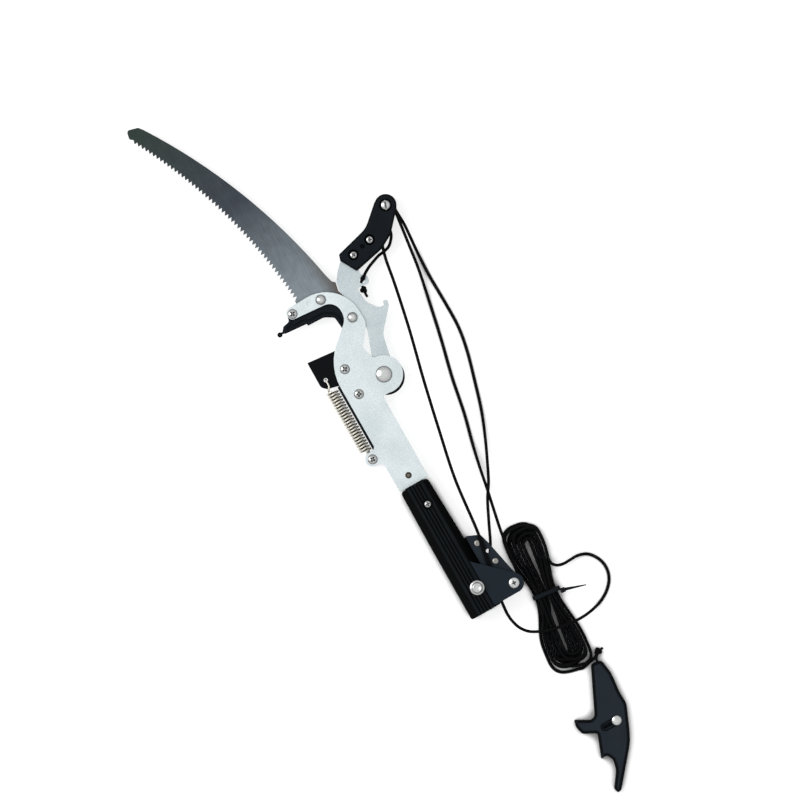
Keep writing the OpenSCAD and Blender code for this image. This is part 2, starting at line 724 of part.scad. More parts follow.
// Cutter blade with its hub, its heel and a slot that swings past the stop screw's boss
blade_corner = [-33.2, 304.5];
blade_inner = [-3, 301.5];
blade_hub_r = 18.5;
blade_heel = [1, -3.2];
spring_hole_d = 4.2;
module stop_slot() {
  arm = stop_screw - pivot;
  r = norm(arm);
  half = stop_boss_r + stop_gap;
  start = atan2(arm.y, arm.x) - asin(half / r);
  translate(pivot) difference() {
    circle(r = r + half);
    circle(r = r - half);
    rotate(start) translate([-3 * r, -6 * r]) square([6 * r, 6 * r]);
  }
}
module cutter_blade() {
  edge = blade_inner - blade_corner;
  color(black_blade) difference() {
    slab(z_blade, blade_t) {
      translate(pivot) circle(r = blade_hub_r);
      translate(pivot + blade_heel) circle(r = blade_hub_r);
      difference() {
        polygon(rounded([[pivot.x + 2, pivot.y + 13, 0], [pivot.x - 3, pivot.y + 22.2, 0],
          [blade_inner.x, blade_inner.y, 0], [blade_corner.x, blade_corner.y, 0.6], [-33.4, 276.5, 5],
          [-28.5, 271.8, 4], [-16, 268.8, 0], [-10, 272, 0], [pivot.x - 22, pivot.y + 27, 0],
          [pivot.x - 14, pivot.y + 11, 0]]));
        stop_slot();
      }
    }
    hub_holes(z_blade, blade_t);
    post(spring_hole_at, z_blade - cut, spring_hole_d, blade_t + 2 * cut);
    translate([blade_corner.x, blade_corner.y, z_lever]) rotate(atan2(edge.y, edge.x))
      translate([-5, 0, -blade_t + 0.4]) rotate([-atan2(bevel_w, blade_t - 0.4), 0, 0])
        cube([norm(edge) + 2, 10, 20]);
  }
}

// Lever with the lug for the rope, its spur and the tongue inside the pulley arm
lever_hub_r = 16;
module lever() {
  color(steel_pale) difference() {
    union() {
      post(pivot, z_lever, 2 * lever_hub_r, lever_t);
      slab(z_lever, lever_t) polygon(rounded([[pivot.x - 8.5, pivot.y + 3, 0], [35.8, 304, 14],
        [36.2, 330, 20], [30.6, 350, 8], [32.4, 361, 8], [39.5, 370.5, 8], [47, 377.5, 0],
        [49, 382.4, 1], [84, 391, 4], [88.5, 389.5, 3], [82.5, 369, 3], [57.5, 364.5, 1],
        [57.5, 354.8, 1.5], [62.6, 351, 3.5], [60.6, 343.4, 3.2],
        [46.9, 345.4, 3], [48.2, 329, 10], [56.5, 317.4, 8], [62.4, 317, 0.8], [63, 321.2, 1],
        [68.4, 321.2, 2.4], [66.6, 314.8, 2], [46.9, 292.3, 16], [42.3, 270, 8],
        [pivot.x + 14, pivot.y, 0]]));
    }
    hub_holes(z_lever, lever_t);
    post(rope_hole_at, z_lever - cut, rope_hole_d, lever_t + 2 * cut);
    for (p = arm_screw_at)
      post(p, z_lever - cut, arm_screw_d + 2 * hole_gap, lever_t + 2 * cut);
  }
}

// Pulley arm: two cheeks with pads that grip the lever's tongue
arm_recess_d = 10.2;
arm_recess = 1.2;
arm_dimple_at = [72.5, 378.8];
arm_dimple_d = 4;
module arm_outline() {
  translate(upper_at) circle(r = arm_end_r);
  polygon(rounded([[46, 377, 1], [48, 383.2, 1.5], [84, 392.7, 25],
    [upper_at.x - 7.9, upper_at.y + 8.2, 0],
    [upper_at.x, upper_at.y, 0], [upper_at.x + 8.6, upper_at.y - 7.4, 0], [103, 375.3, 20], [88, 367, 25],
    [55.5, 360, 1.5]]));
}
module arm_pad_outline() {
  intersection() {
    arm_outline();
    polygon([[40, 350], [81.5, 350], [96, 396], [40, 396]]);
  }
}
module arm_holes(z, h) {
  for (p = arm_screw_at)
    post(p, z, arm_screw_d + 2 * hole_gap, h);
  post(upper_at, z, axle_d + 2 * hole_gap, h);
}
module arm_front() {
  color(black_nylon) difference() {
    union() {
      slab(z_arm_in, cheek_t) arm_outline();
      slab(z_lever_top, z_arm_in - z_lever_top + cheek_t / 2) arm_pad_outline();
    }
    arm_holes(z_lever_top - cut, core_t + arm_gap + cheek_t);
    for (p = arm_screw_at)
      post(p, z_arm_in + cheek_t - arm_recess, arm_recess_d, cheek_t);
    post(upper_at, z_arm_in + cheek_t - upper_recess, upper_recess_d, cheek_t);
    post(arm_dimple_at, z_arm_in + cheek_t - 1, arm_dimple_d, cheek_t);
  }
}
module arm_back() {
  color(black_nylon) difference() {
    union() {
      slab(z_arm_back - cheek_t, cheek_t) arm_outline();
      slab(z_arm_back - cheek_t / 2, z_lever - z_arm_back + cheek_t / 2) arm_pad_outline();
    }
    arm_holes(z_arm_back - cheek_t - cut, core_t + arm_gap + cheek_t);
  }
}
arm_head_d = 7.2;
arm_head_h = 1.8;
arm_nut_h = 3.2;
module arm_screws() {
  z = z_arm_in + cheek_t - arm_recess;
  color(nickel) for (p = arm_screw_at)
    pan_screw(p, z, arm_screw_d, arm_head_d, arm_head_h, z - z_arm_back + cheek_t + arm_nut_h);
}
module arm_nuts() {
  color(nickel) for (p = arm_screw_at)
    hex_nut(p, z_arm_back - cheek_t, arm_screw_d, arm_screw_d + 3, arm_nut_h);
}
upper_head_d = 9.6;
upper_head_h = 2.2;
upper_slot_w = 1.6;
upper_recess_d = 12;
upper_recess = 0.8;
module upper_axle() {
  z = z_arm_in + cheek_t - upper_recess;
  len = z - z_arm_back + cheek_t + nut_h + 0.5;
  color(nickel) translate([upper_at.x, upper_at.y, z]) {
    difference() {
      domed_head(upper_head_d, upper_head_h);
      rotate(70) translate([-upper_head_d, -upper_slot_w / 2, upper_head_h - 1])
        cube([2 * upper_head_d, upper_slot_w, 2]);
    }
    translate([0, 0, -len]) cylinder(d = axle_d, h = len + 1);
  }
}
module upper_axle_nut() {
  color(nickel) hex_nut(upper_at, z_arm_back - cheek_t, axle_d, axle_d + 4, nut_h);
}

// Return spring: a coil beside the shank, hooked to the blade above and to the anchor screw below
spring_x = -26;
spring_y0 = 198.5;
spring_y1 = 267.5;
spring_r = (spring_od - wire_d) / 2;
loop_r = screw_d / 2 + wire_d / 2 + 0.35;
spring_coil = [for (i = [0 : 8 * spring_turns])
  let (a = 90 + 45 * i)
  [spring_x + spring_r * cos(a), spring_y0 + (spring_y1 - spring_y0) * i / (8 * spring_turns),
  spring_r * sin(a)]];
spring_foot = concat([for (a = [340 : -40 : 180]) [anchor_screw.x + loop_r * cos(a),
  anchor_screw.y + loop_r * sin(a), 0]],
  [[-27.4, 191.6, 0.2], [-27, 194.2, 0.9], [-26, 196.3, 3]]);
spring_head = [[-26.2, 270, 4.2], [-25.8, 273.2, 2.6], [-25.5, 277, 2.2], [-25.5, 280.2, 1.6],
  [-25.5, 281.1, 0], [-25.5, 281.1, -wire_d]];
spring_path = concat(spring_foot, spring_coil, spring_head);
echo(str("least gap of the spring's coils, mm: ", least_gap(spring_coil, wire_d, 6)));
module return_spring() {
  color(nickel) tube(spring_path, wire_d / 2, 6, [0, 0, 1]);
}

// Rope from the lever's lug over the arm's back groove, down round the lower sheave, up over the
// arm's front groove and down through the rope bracket, each point in tool coordinates
rope_lug = [[54.3, 348.8, -0.6], [55.3, 349.5, 1.8], [56.3, 350.2, 4.2], [58.4, 351.7, 5.7],
  [62, 354.2, 5.5], [68, 357.6, 3.6], [75, 360.4, 1.4], [82, 362.8, 0], [89, 363.8, -0.3],
  [95, 365.6, -0.3], [99.5, 369.4, -0.3], [103.4, 375, -0.3], [105.4, 384, -0.3], [106.4, 395, -0.3]];
rope_slack = [[119.4, 392, -0.8], [119.9, 378, -3], [118.8, 362, -7], [117.4, 344, -12],
  [116.4, 320, -14], [116.8, 290, -14], [116.4, 262, -14], [112.5, 238, -14], [103.5, 205, -14],
  [95, 177, -13], [85.5, 153, -11], [75, 130, -7], [65.5, 111, -1.6], [57, 98, 0.6], [47, 78, 1.1],
  [37, 57, 1.1], [31.4, 48, 1.1], [28.3, 41, 1.1], [28.3, 34, 1.1], [29.6, 23, 1.1]];
rope_return = [[46.4, 22, 1.1], [48.4, 33, 0.8], [52, 61, -1.5], [57, 86, -4.6], [61.2, 106, -6.8],
  [66, 131, -10], [71, 153, -13], [78.4, 182, -14], [86, 221, -14], [95.2, 259, -14],
  [104.2, 301, -13], [110.2, 331, -9], [114.2, 360, -2], [117.8, 388, 3.2]];
rope_haul = [[98, 385.8, 3.9], [90.6, 370, 3.9], [87, 358, 4], [82.2, 331, 4.4], [72.2, 283, 5.3],
  [60.2, 234, 6.2], [48.4, 181, 7.2], [38.2, 131, 8.1], [31.4, 72, 9.2], [26.8, 48, 9.2],
  [21.6, 18, 9.2], [18.5, 3, 9.2], [18, 0, 9.2]];
// Points round a sheave at m, from one angle to another
round_steps = 6;
function round_sheave(m, r, z, from, to) =
  [for (i = [0 : round_steps]) let (a = from + (to - from) * i / round_steps)
    [m.x + r * cos(a), m.y + r * sin(a), z]];
rope_path = concat(rope_lug, round_sheave(upper_at, lane_r, z_sheave - lane_pitch / 2, 180, 0),
  rope_slack,
  round_sheave(lower_at, lower_lane_r, z_lower, 180, 360), rope_return,
  round_sheave(upper_at, lane_r, z_sheave + lane_pitch / 2, 0, 180), rope_haul);
cord_sides = 8;
module pull_rope() {
  color(black_cord) tube(rope_path, cord_d / 2, cord_sides, [0, 1, 0]);
}

// Stopper knot behind the lever's lug, with its tail
knot_r = 3.3;
knot_at = [52.2, 340.4, -3.6];
knot_link = [[53.6, 348.1, -2.5], [53, 346, -3.5]];
knot_tail = [[51.9, 336, -4], [51.9, 332.4, -4.4]];
knot_end = rope_path[0] + 0.15 * unit(rope_path[0] - rope_path[1]);
module lever_knot() {
  color(black_cord) {
    translate(knot_at) sphere(r = knot_r);
    tube(concat([knot_end], knot_link, [knot_at], knot_tail), cord_d / 2, cord_sides);
  }
}

// Hank: layers of loops round a drawn-in waist, from the top layer down
hank_at = [60.9, -16.9];
hank_tilt = -6.7;
hank_neck = 3;
// Half width of one layer, its sway from the axis and the layers' common lean, at each end
hank_top = 18.5;
hank_top_sway = 2.8;
hank_bottom = 18;
hank_bottom_sway = 5;
hank_bottom_lean = -2;
hank_bottom_slant = -0.15;
hank_fan = 1.04;
hank_top_fan = 1.16;
hank_tall = 1.5;
hank_square = 0.8;
hank_fold_share = 0.2;
hank_short = 1.2;
hank_lift = 2.2;
hank_lift_len = 22;
hank_per_layer = 3;
hank_climb = 0.25;
hank_first = 0.0975;
hank_last = 11.76;
hank_rings = 40;
// How far the hank has opened from its waist at height y along its axis
function hank_open(y) = ease((y > hank_neck ? y - hank_neck : hank_neck - y) / (y > hank_neck ? 50 : 55));
// Layer that turn t belongs to, counted from the top
function hank_index(t) = min(3, floor((t + 0.5) / hank_per_layer));
// How far a turn lies inside its layer's outline: each layer winds the other way from the one above
function hank_inset(t) =
  let (k = hank_index(t), s = t + 0.5 - k * hank_per_layer)
  hank_step * (k % 2 == 0 ? s : hank_per_layer - s);
// Layers climbed at turn t
function hank_level(t) =
  let (k = hank_index(t), s = t + 0.5 - k * hank_per_layer)
  k == 3 ? 3 : k + ease((s - hank_per_layer) / hank_climb + 1);
// Place on a fold at angle b: a half circle of radius 1, squarer where n is over 2
function hank_fold(b, n) = [for (v = [cos(b), sin(b)]) sign(v) * pow(abs(v), 2 / n)];
// Place at share f of a loop with straight sides and round ends: its side from 1 to -1, and its height
function hank_loop(f, half, top_r, bottom_r, n) =
  let (side = (1 - 2 * hank_fold_share) / 4, top = half - top_r, bottom = half - bottom_r)
  let (left = (f - side - hank_fold_share) / side)
  f < side ? [1, top * f / side]
  : left < 0 ? let (c = hank_fold(180 * (f - side) / hank_fold_share, n)) [c.x, top + top_r * c.y]
  : left < 1 ? [-1, top * (1 - left)]
  : left < 2 ? [-1, bottom * (1 - left)]
  : f < 1 - side ? let (c = hank_fold(180 * (f - 3 * side - hank_fold_share) / hank_fold_share, n))
    [-c.x, -bottom - bottom_r * c.y]
  : [1, -bottom * (1 - f) / side];
function hank_point(t) =
  let (k = hank_index(t), inset = hank_inset(t))
  let (place = hank_loop(t - floor(t), hank_half - cord_d / 2 - hank_tall * inset - hank_short * (3 - k),
    hank_top - cord_d / 2 - hank_top_fan * inset, hank_bottom - cord_d / 2 - hank_fan * inset,
    2 + hank_square * (1 - inset / (hank_per_layer * hank_step))))
  let (y = place.y)
  let (open = hank_open(y), upper = y > hank_neck)
  let (half = hank_waist + ((upper ? hank_top : hank_bottom) - hank_waist) * open)
  let (sway = (k % 2 == 0 ? 1 : -1) * (upper ? hank_top_sway : hank_bottom_sway))
  let (shift = (sway + (upper ? 0 : hank_bottom_lean)) * open)
  let (fan = upper ? hank_top_fan : hank_fan)
  let (x = (half - cord_d / 2 - inset * (1 + (fan - 1) * open)) * place.x + shift)
  let (along = y + (upper ? 0 : hank_bottom_slant) * x * open)
  let (lift = hank_lift * (1 - ease((abs(y - hank_neck) - 4) / hank_lift_len)))
  [hank_at.x + x * cos(hank_tilt) - along * sin(hank_tilt),
    hank_at.y + x * sin(hank_tilt) + along * cos(hank_tilt),
    z_floor + cord_d / 2 + lift + hank_layer * (3 - hank_level(t))];
hank_count = round((hank_last - hank_first) * hank_rings);
hank_pitch = (hank_last - hank_first) / hank_count;
hank_turns = [for (i = [0 : hank_count]) hank_point(hank_first + hank_pitch * i)];
hank_in = unit(hank_turns[1] - hank_turns[0]);
hank_out = unit(hank_turns[hank_count] - hank_turns[hank_count - 1]);
hank_start = hank_turns[0] - cord_d * hank_in;
hank_end = hank_turns[hank_count] + cord_d * hank_out;
hank_path = concat([hank_start], hank_turns, [hank_end]);
echo(str("least gap of the hank's turns, mm: ", least_gap(hank_turns, cord_d, 12)));
echo(hank_start = hank_start, hank_in = hank_in, hank_end = hank_end, hank_out = hank_out);
module rope_hank() {
  color(black_cord) tube(hank_path, cord_d / 2, 6);
}

// Rope from the bracket's mouth over the hank and round a loose loop into the hank's top layer
rope_loop = [[18, -0.1, 9.2], [17.4, -6, 8.6], [17, -12, 6.8], [17.6, -20, 3.6], [20.6, -30, 0.6],
  [26, -37.4, -0.2], [32, -41.6, -0.4], [42, -46, -0.4], [54, -49.4, -0.4], [66, -51.6, -0.4],
  [76, -52.4, -0.6], [86, -52.2, -4.4], [96, -50.6, -10.5], [105, -47.8, -14], [115.2, -41.6, -14],
  [122.4, -33.6, -14], [125.8, -24.6, -14], [125.6, -15.4, -14], [122.2, -7, -14], [116, 0, -13.4],
  [107, 3.2, -12], [98, 3.2, -10.2], [90.5, 3.2, -8.6], [84.2, 5.2, -6.6], [80.4, 9.6, -4.8]];
module rope_lead() {
  color(black_cord) tube(concat(rope_loop,
    [hank_start - 2 * hank_in, hank_start]), cord_d / 2, cord_sides);
}

// Nylon tie round the hank's waist, with its lock and its tail
tie_room = 0.35;
tie_lock = [5, 5, 4];
tie_drop = 3.5;
tie_tail = 22;
module hank_tie() {
  low = z_floor + hank_lift - tie_room;
  high = z_floor + hank_lift + cord_d + 3 * hank_layer + tie_room;
  half = hank_waist + tie_room + 0.15;
  color(black_nylon) translate([hank_at.x, hank_at.y, 0]) rotate(hank_tilt) {
    translate([0, hank_neck + tie_w / 2, 0]) rotate([90, 0, 0]) linear_extrude(tie_w) difference() {
      polygon(rounded([for (c = [[-1, low - tie_t], [1, low - tie_t], [1, high + tie_t],
        [-1, high + tie_t]])
        [c.x * (half + tie_t), c.y, 2.4]]));
      polygon(rounded([for (c = [[-1, low], [1, low], [1, high], [-1, high]]) [c.x * half, c.y, 1]]));
    }
    translate([half + tie_t - 1, hank_neck - tie_drop - tie_lock.y / 2, -tie_lock.z - 2]) cube(tie_lock);
    translate([half + tie_t + tie_lock.x - 1.3, hank_neck - tie_drop, -tie_lock.z - 1]) rotate(-11)
      linear_extrude(tie_t) polygon([[0, -1.6], [tie_tail, -0.5], [tie_tail, 0.5], [0, 1.6]]);
  }
}

// Cord from the hank to its knot and into the handle
handle_knot_at = [77.4, -90.4, -11.6];
handle_knot_r = 4;
tail_bend = [64, -95.6, z_floor + cord_d / 2];
eye_at = [71.8, -98.4];
eye_dir = unit([-0.28, -1]);
eye_depth = 12;
eye_d = cord_d + 0.6;
cord_z = -9.5;
module handle_cord() {
  into = [eye_at.x + eye_dir.x * 9, eye_at.y + eye_dir.y * 9, cord_z];
  mouth = [eye_at.x, eye_at.y, cord_z];
  arrive = unit([1, 0.7, 0]);
  leave = unit(mouth - handle_knot_at);
  color(black_cord) {
    tube([hank_end, hank_end + 4 * hank_out, tail_bend,
      handle_knot_at - handle_knot_r * arrive - cord_d * arrive,
      handle_knot_at - handle_knot_r * arrive], cord_d / 2, cord_sides);
    tube([handle_knot_at + handle_knot_r * leave, mouth - 2.5 * [eye_dir.x, eye_dir.y, 0], mouth, into],
      cord_d / 2, cord_sides);
  }
}
module handle_knot() {
  color(black_cord) translate(handle_knot_at) sphere(r = handle_knot_r - 0.5);
}

// Pull handle with its hooked lug, its spur and the slot for its pin
slot_at = [59.5, -159.4];
recess_w = 8;
recess_depth = 2;
collar_d = 8;
collar_t = 1.6;
collar_pocket = 2.5;
handle_skin = 1.2;
module stadium(from, to, w) {
  translate(from) circle(d = w);
  translate(to) circle(d = w);
  translate([min(from.x, to.x), from.y - w / 2]) square([abs(to.x - from.x), w]);
}
module pull_handle() {
  far = slot_at - [pin_travel, 0];
  color(black_nylon) difference() {
    slab(z_floor, handle_t) polygon(rounded([[76, -99.5, 5], [65, -97.5, 5], [42.5, -145, 5],
      [37.5, -146.5, 3],
      [22.6, -138.2, 1], [20.8, -146, 4], [23, -154.4, 3], [36.5, -161.2, 2.5], [27, -185.8, 0.6],
      [33.5, -184.6, 4],
      [37, -192, 6], [34.5, -203, 20], [23.6, -217.8, 0.8], [25, -223, 1], [29, -222.5, 1.5],
      [62, -183.5, 60],
      [76.5, -149.5, 14], [76, -137, 10], [78.2, -115, 14]]));
    slab(z_floor + handle_skin, handle_t) stadium(far, slot_at, pin_d + 2 * hole_gap);
    slab(z_floor + handle_t - recess_depth, handle_t) stadium(far, slot_at, recess_w);
    slab(z_floor + handle_skin, collar_pocket) stadium(far, slot_at, collar_d + 1);
    translate([eye_at.x, eye_at.y, cord_z]) rotate([0, 0, atan2(eye_dir.y, eye_dir.x)]) rotate([0, 90, 0])
      translate([0, 0, -8]) cylinder(d = eye_d, h = eye_depth + 8);
  }
}
pin_head_h = 2;
module handle_pin() {
  z = z_floor + handle_t + run_gap;
  bottom = z_floor + handle_skin + collar_pocket - run_gap - collar_t;
  color(nickel) translate([slot_at.x, slot_at.y, 0]) {
    translate([0, 0, z]) domed_head(pin_head_d, pin_head_h);
    translate([0, 0, bottom]) cylinder(d = pin_d, h = z - bottom + pin_head_h * 0.3);
    translate([0, 0, bottom]) cylinder(d = collar_d, h = collar_t);
  }
}

pole_socket();
clamp_bolt();
clamp_insert();
socket_screw();
socket_nut();
guide_plate();
guide_rivets();
guide_collars();
lower_axle();
lower_sheave();
core_tang();
front_plate();
back_plate();
shank_rivet();
frame_screws();
frame_nuts();
hook_cap_nut();
saw_blade();
saw_bolts();
saw_cap_nuts();
hook_liner();
hook_spacers();
pivot_bolt();
pivot_washer();
pivot_cap_nut();
pivot_shim();
pivot_bush();
cutter_blade();
lever();
lever_rivets();
arm_front();
arm_back();
arm_screws();
arm_nuts();
upper_axle();
upper_axle_nut();
upper_sheave();
return_spring();
lever_knot();
pull_rope();
rope_lead();
rope_hank();
hank_tie();
handle_cord();
handle_knot();
pull_handle();
handle_pin();
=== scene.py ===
# %% [markdown]
# # The head of a rope-operated tree pruner
#
# The tool lies flat, seen from straight above: a ribbed pole socket, a hooked frame of bright
# steel plates with a curved saw, and a cutter that a rope tackle pulls shut against a spring.
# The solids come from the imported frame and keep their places. This lesson gives them softened
# edges and finishes, lays the rope, and adds the small parts that repeat.

# %% Load the frame
import json
import math

import bmesh
import bpy
import numpy as np
from mathutils import Matrix, Vector
from mathutils.geometry import delaunay_2d_cdt


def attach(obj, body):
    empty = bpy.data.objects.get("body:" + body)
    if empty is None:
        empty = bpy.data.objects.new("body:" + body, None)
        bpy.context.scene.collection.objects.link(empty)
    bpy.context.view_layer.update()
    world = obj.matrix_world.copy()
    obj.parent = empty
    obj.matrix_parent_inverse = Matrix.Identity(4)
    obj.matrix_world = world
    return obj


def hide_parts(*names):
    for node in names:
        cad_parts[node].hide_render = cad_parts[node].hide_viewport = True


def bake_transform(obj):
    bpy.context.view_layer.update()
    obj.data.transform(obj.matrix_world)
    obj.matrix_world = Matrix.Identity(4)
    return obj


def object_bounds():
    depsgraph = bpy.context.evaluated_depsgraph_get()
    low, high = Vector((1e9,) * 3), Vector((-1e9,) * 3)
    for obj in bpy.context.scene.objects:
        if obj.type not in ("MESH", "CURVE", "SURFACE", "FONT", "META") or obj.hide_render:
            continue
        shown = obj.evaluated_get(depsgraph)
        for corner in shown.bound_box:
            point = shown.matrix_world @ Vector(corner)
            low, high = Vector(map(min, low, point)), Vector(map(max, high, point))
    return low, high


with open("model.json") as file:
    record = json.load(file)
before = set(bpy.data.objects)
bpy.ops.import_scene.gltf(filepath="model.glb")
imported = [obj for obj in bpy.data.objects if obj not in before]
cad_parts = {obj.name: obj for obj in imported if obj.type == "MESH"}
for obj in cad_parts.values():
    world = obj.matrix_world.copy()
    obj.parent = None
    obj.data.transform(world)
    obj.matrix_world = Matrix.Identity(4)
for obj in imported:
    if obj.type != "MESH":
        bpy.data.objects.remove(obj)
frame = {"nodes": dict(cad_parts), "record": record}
cad_box = [list(corner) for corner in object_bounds()]
nodes = frame["nodes"]
MM = 0.001
body_of = {
    node: body
    for body, members in frame["record"]["behaviour"]["bodies"].items()
    for node in members
}
floor_z = cad_box[0][2]
print("pieces in the frame:", len(nodes))

# %% [markdown]
# ## Camera
#
# The photograph looks straight down and turns the tool so that it leans to the left. A camera
# with a long lens does the same: it hangs over the middle of the picture, and its upward
# direction is turned by the lean. A long lens keeps the small heights of the tool from showing
# as perspective, which the photograph doesn't have either.

# %% Camera over the tool
PICTURE_MIDDLE = (29.3, 226.6)
PICTURE_WIDTH = 800
PICTURE_LEAN = -29.6
PLATE_FACE = 5.7
LENS = 400
SENSOR = 36


def placed(name, data):
    """A new object at the origin that shows the given data."""
    obj = bpy.data.objects.new(name, data)
    bpy.context.collection.objects.link(obj)
    return obj


camera_data = bpy.data.cameras.new("camera")
camera_data.lens = LENS
camera_data.sensor_width = SENSOR
camera_data.clip_end = 20
camera = placed("camera", camera_data)
camera_height = PICTURE_WIDTH * LENS / SENSOR + PLATE_FACE
camera.location = Vector((*PICTURE_MIDDLE, camera_height)) * MM
camera.rotation_euler = (0, 0, math.radians(PICTURE_LEAN))
bpy.context.scene.camera = camera
print("camera height, mm:", camera_height)

# %% [markdown]
# ## Helpers for finishes
#
# Every finish here is built from nodes. One function turns an sRGB hex value into the linear
# numbers that a shader wants, and one adds a node and feeds its inputs. The short functions after
# them name the steps that every finish takes: noise, a range, a mix of colours, a relief. Patterns
# read Object coordinates in metres, so a grain of so many millimetres is a scale of 1000 over it.

# %% Colour and node helpers
AO_SAMPLES = 8


def linear(code):
    """Linear RGBA of an sRGB hex value."""
    parts = [int(code[i : i + 2], 16) / 255 for i in (1, 3, 5)]
    return [p / 12.92 if p <= 0.04045 else ((p + 0.055) / 1.055) ** 2.4 for p in parts] + [1]


def add(tree, kind, settings=None):
    """Adds a node. A setting is a property, the value of an input, or a socket that feeds it."""
    node = tree.nodes.new(kind)
    for key, value in (settings or {}).items():
        if isinstance(value, bpy.types.NodeSocket):
            tree.links.new(value, node.inputs[key])
        elif isinstance(key, str) and key in node.bl_rna.properties:
            setattr(node, key, value)
        else:
            node.inputs[key].default_value = value
    return node


def noise(tree, coords, size, detail, rough=0.5):
    """Noise on a set of coordinates, with specks about size millimetres wide."""
    settings = {"Scale": 1000 / size, "Detail": detail, "Roughness": rough, "Vector": coords}
    return add(tree, "ShaderNodeTexNoise", settings).outputs["Fac"]


def figured(tree, operation, *terms):
    """Result of one step of arithmetic on sockets and numbers."""
    return add(tree, "ShaderNodeMath", {"operation": operation, **dict(enumerate(terms))}).outputs[0]


def ranged(tree, value, low=0, high=1, to_low=0, to_high=1):
    """A value carried from one range to another and held inside it."""
    ends = {"From Min": low, "From Max": high, "To Min": to_low, "To Max": to_high, "Value": value}
    return add(tree, "ShaderNodeMapRange", ends).outputs[0]


def between(tree, share, low, high):
    """A number between two sockets."""
    return add(tree, "ShaderNodeMix", {"data_type": "FLOAT", 0: share, 2: low, 3: high}).outputs[0]


def mixed(tree, share, low, high):
    """A colour between two, each a hex value or a socket."""
    low, high = (linear(colour) if isinstance(colour, str) else colour for colour in (low, high))
    return add(tree, "ShaderNodeMix", {"data_type": "RGBA", 0: share, 6: low, 7: high}).outputs[2]


def darkened(tree, colour, share):
    """A colour times a share."""
    settings = {"data_type": "RGBA", "blend_type": "MULTIPLY", 0: 1.0, 6: colour, 7: share}
    return add(tree, "ShaderNodeMix", settings).outputs[2]


def openness(tree, distance):
    """How open a place is within so many millimetres: 0 in a deep nook, 1 on a free face."""
    settings = {"samples": AO_SAMPLES, "Distance": distance * MM}
    return add(tree, "ShaderNodeAmbientOcclusion", settings).outputs["AO"]


def bumped(tree, height, strength, depth, under=None):
    """Normals of a relief so many millimetres deep, on top of another relief if one is given."""
    settings = {"Strength": strength, "Distance": depth * MM, "Height": height}
    if under:
        settings["Normal"] = under
    return add(tree, "ShaderNodeBump", settings).outputs["Normal"]


def split(tree, vector):
    """The three parts of a vector."""
    return add(tree, "ShaderNodeSeparateXYZ", {0: vector}).outputs


def new_finish(name):
    """A material with an empty tree, and the outputs of its coordinates."""
    finish = bpy.data.materials.new(name)
    finish.use_nodes = True
    finish.node_tree.nodes.clear()
    return finish, finish.node_tree, add(finish.node_tree, "ShaderNodeTexCoord").outputs


def close_finish(finish, settings):
    """Ends a finish in a principled surface."""
    surface = add(finish.node_tree, "ShaderNodeBsdfPrincipled", settings)
    add(finish.node_tree, "ShaderNodeOutputMaterial", {"Surface": surface.outputs["BSDF"]})
    return finish


# %% [markdown]
# ## Braided cord
#
# The rope is a thin black polyester braid. Its strands cross in small diamonds, dull and a little
# fuzzy. The cord meshes carry a UV map that counts diamonds round and along the cord, so two
# diagonal waves on that map draw the braid wherever the cord goes.

# %% Finish of the cord
def braided_polyester():
    """Black braid: the crowns of the strands catch a little light, the gaps stay dark."""
    finish, tree, coords = new_finish("braided polyester")
    around, along = split(tree, coords["UV"])[:2]
    waves = []
    for way in ("ADD", "SUBTRACT"):
        slanted = figured(tree, way, around, along)
        waves.append(figured(tree, "SINE", figured(tree, "MULTIPLY", slanted, 2 * math.pi)))
    height = ranged(tree, figured(tree, "MULTIPLY", *waves), -1, 1)
    fuzz = noise(tree, coords["Object"], 0.4, 3)
    return close_finish(finish, {
        "Base Color": mixed(tree, height, "#050506", "#0F1012"),
        "Roughness": 0.8,
        "Specular IOR Level": 0.08,
        "Normal": bumped(tree, fuzz, 0.25, 0.08, bumped(tree, height, 0.5, 0.15)),
    })


braid = braided_polyester()
print("finish:", braid.name)

# %% [markdown]
# ## Cord tubes
#
# A cord could be a curve with a bevel, but the braid needs a map that keeps its scale along the
# whole length. So each cord is a mesh tube: its given points are joined by a smooth curve, rings
# stand square to it, and every ring is pressed in and out a little where the strands cross.

# %% Smooth routes and braided tubes
CORD_D = 2.8
CORD_SIDES = 12
RING_STEP = 0.75
BRAID_PITCH = 3.0
BRAID_STRANDS = 3
BRAID_RELIEF = 0.05
ROUTE_FINE = 0.4
FIRST_SIDE = (0.31, 0.22, 0.92)


def on_way(t, start, stop, a, b):
    """Point at t on the way from a to b, which takes from start to stop."""
    return ((stop - t) * a + (t - start) * b) / (stop - start)


def smooth_route(points, step):
    """Points about step apart on the Catmull-Rom curve through the given ones."""
    p = np.array(points, float)
    p = np.vstack([2 * p[0] - p[1], p, 2 * p[-1] - p[-2]])
    dense = []
    for a, b, c, d in zip(p[:-3], p[1:-2], p[2:-1], p[3:]):
        ts = [0.0, *np.cumsum([math.sqrt(np.linalg.norm(v - u)) for u, v in ((a, b), (b, c), (c, d))])]
        for t in np.linspace(ts[1], ts[2], max(3, int(np.linalg.norm(c - b) / ROUTE_FINE)), endpoint=False):
            x = on_way(t, ts[0], ts[1], a, b)
            y = on_way(t, ts[1], ts[2], b, c)
            z = on_way(t, ts[2], ts[3], c, d)
            u, v = on_way(t, ts[0], ts[2], x, y), on_way(t, ts[1], ts[3], y, z)
            dense.append(on_way(t, ts[1], ts[2], u, v))
    return even_route(np.array(dense + [p[-2]]), step)


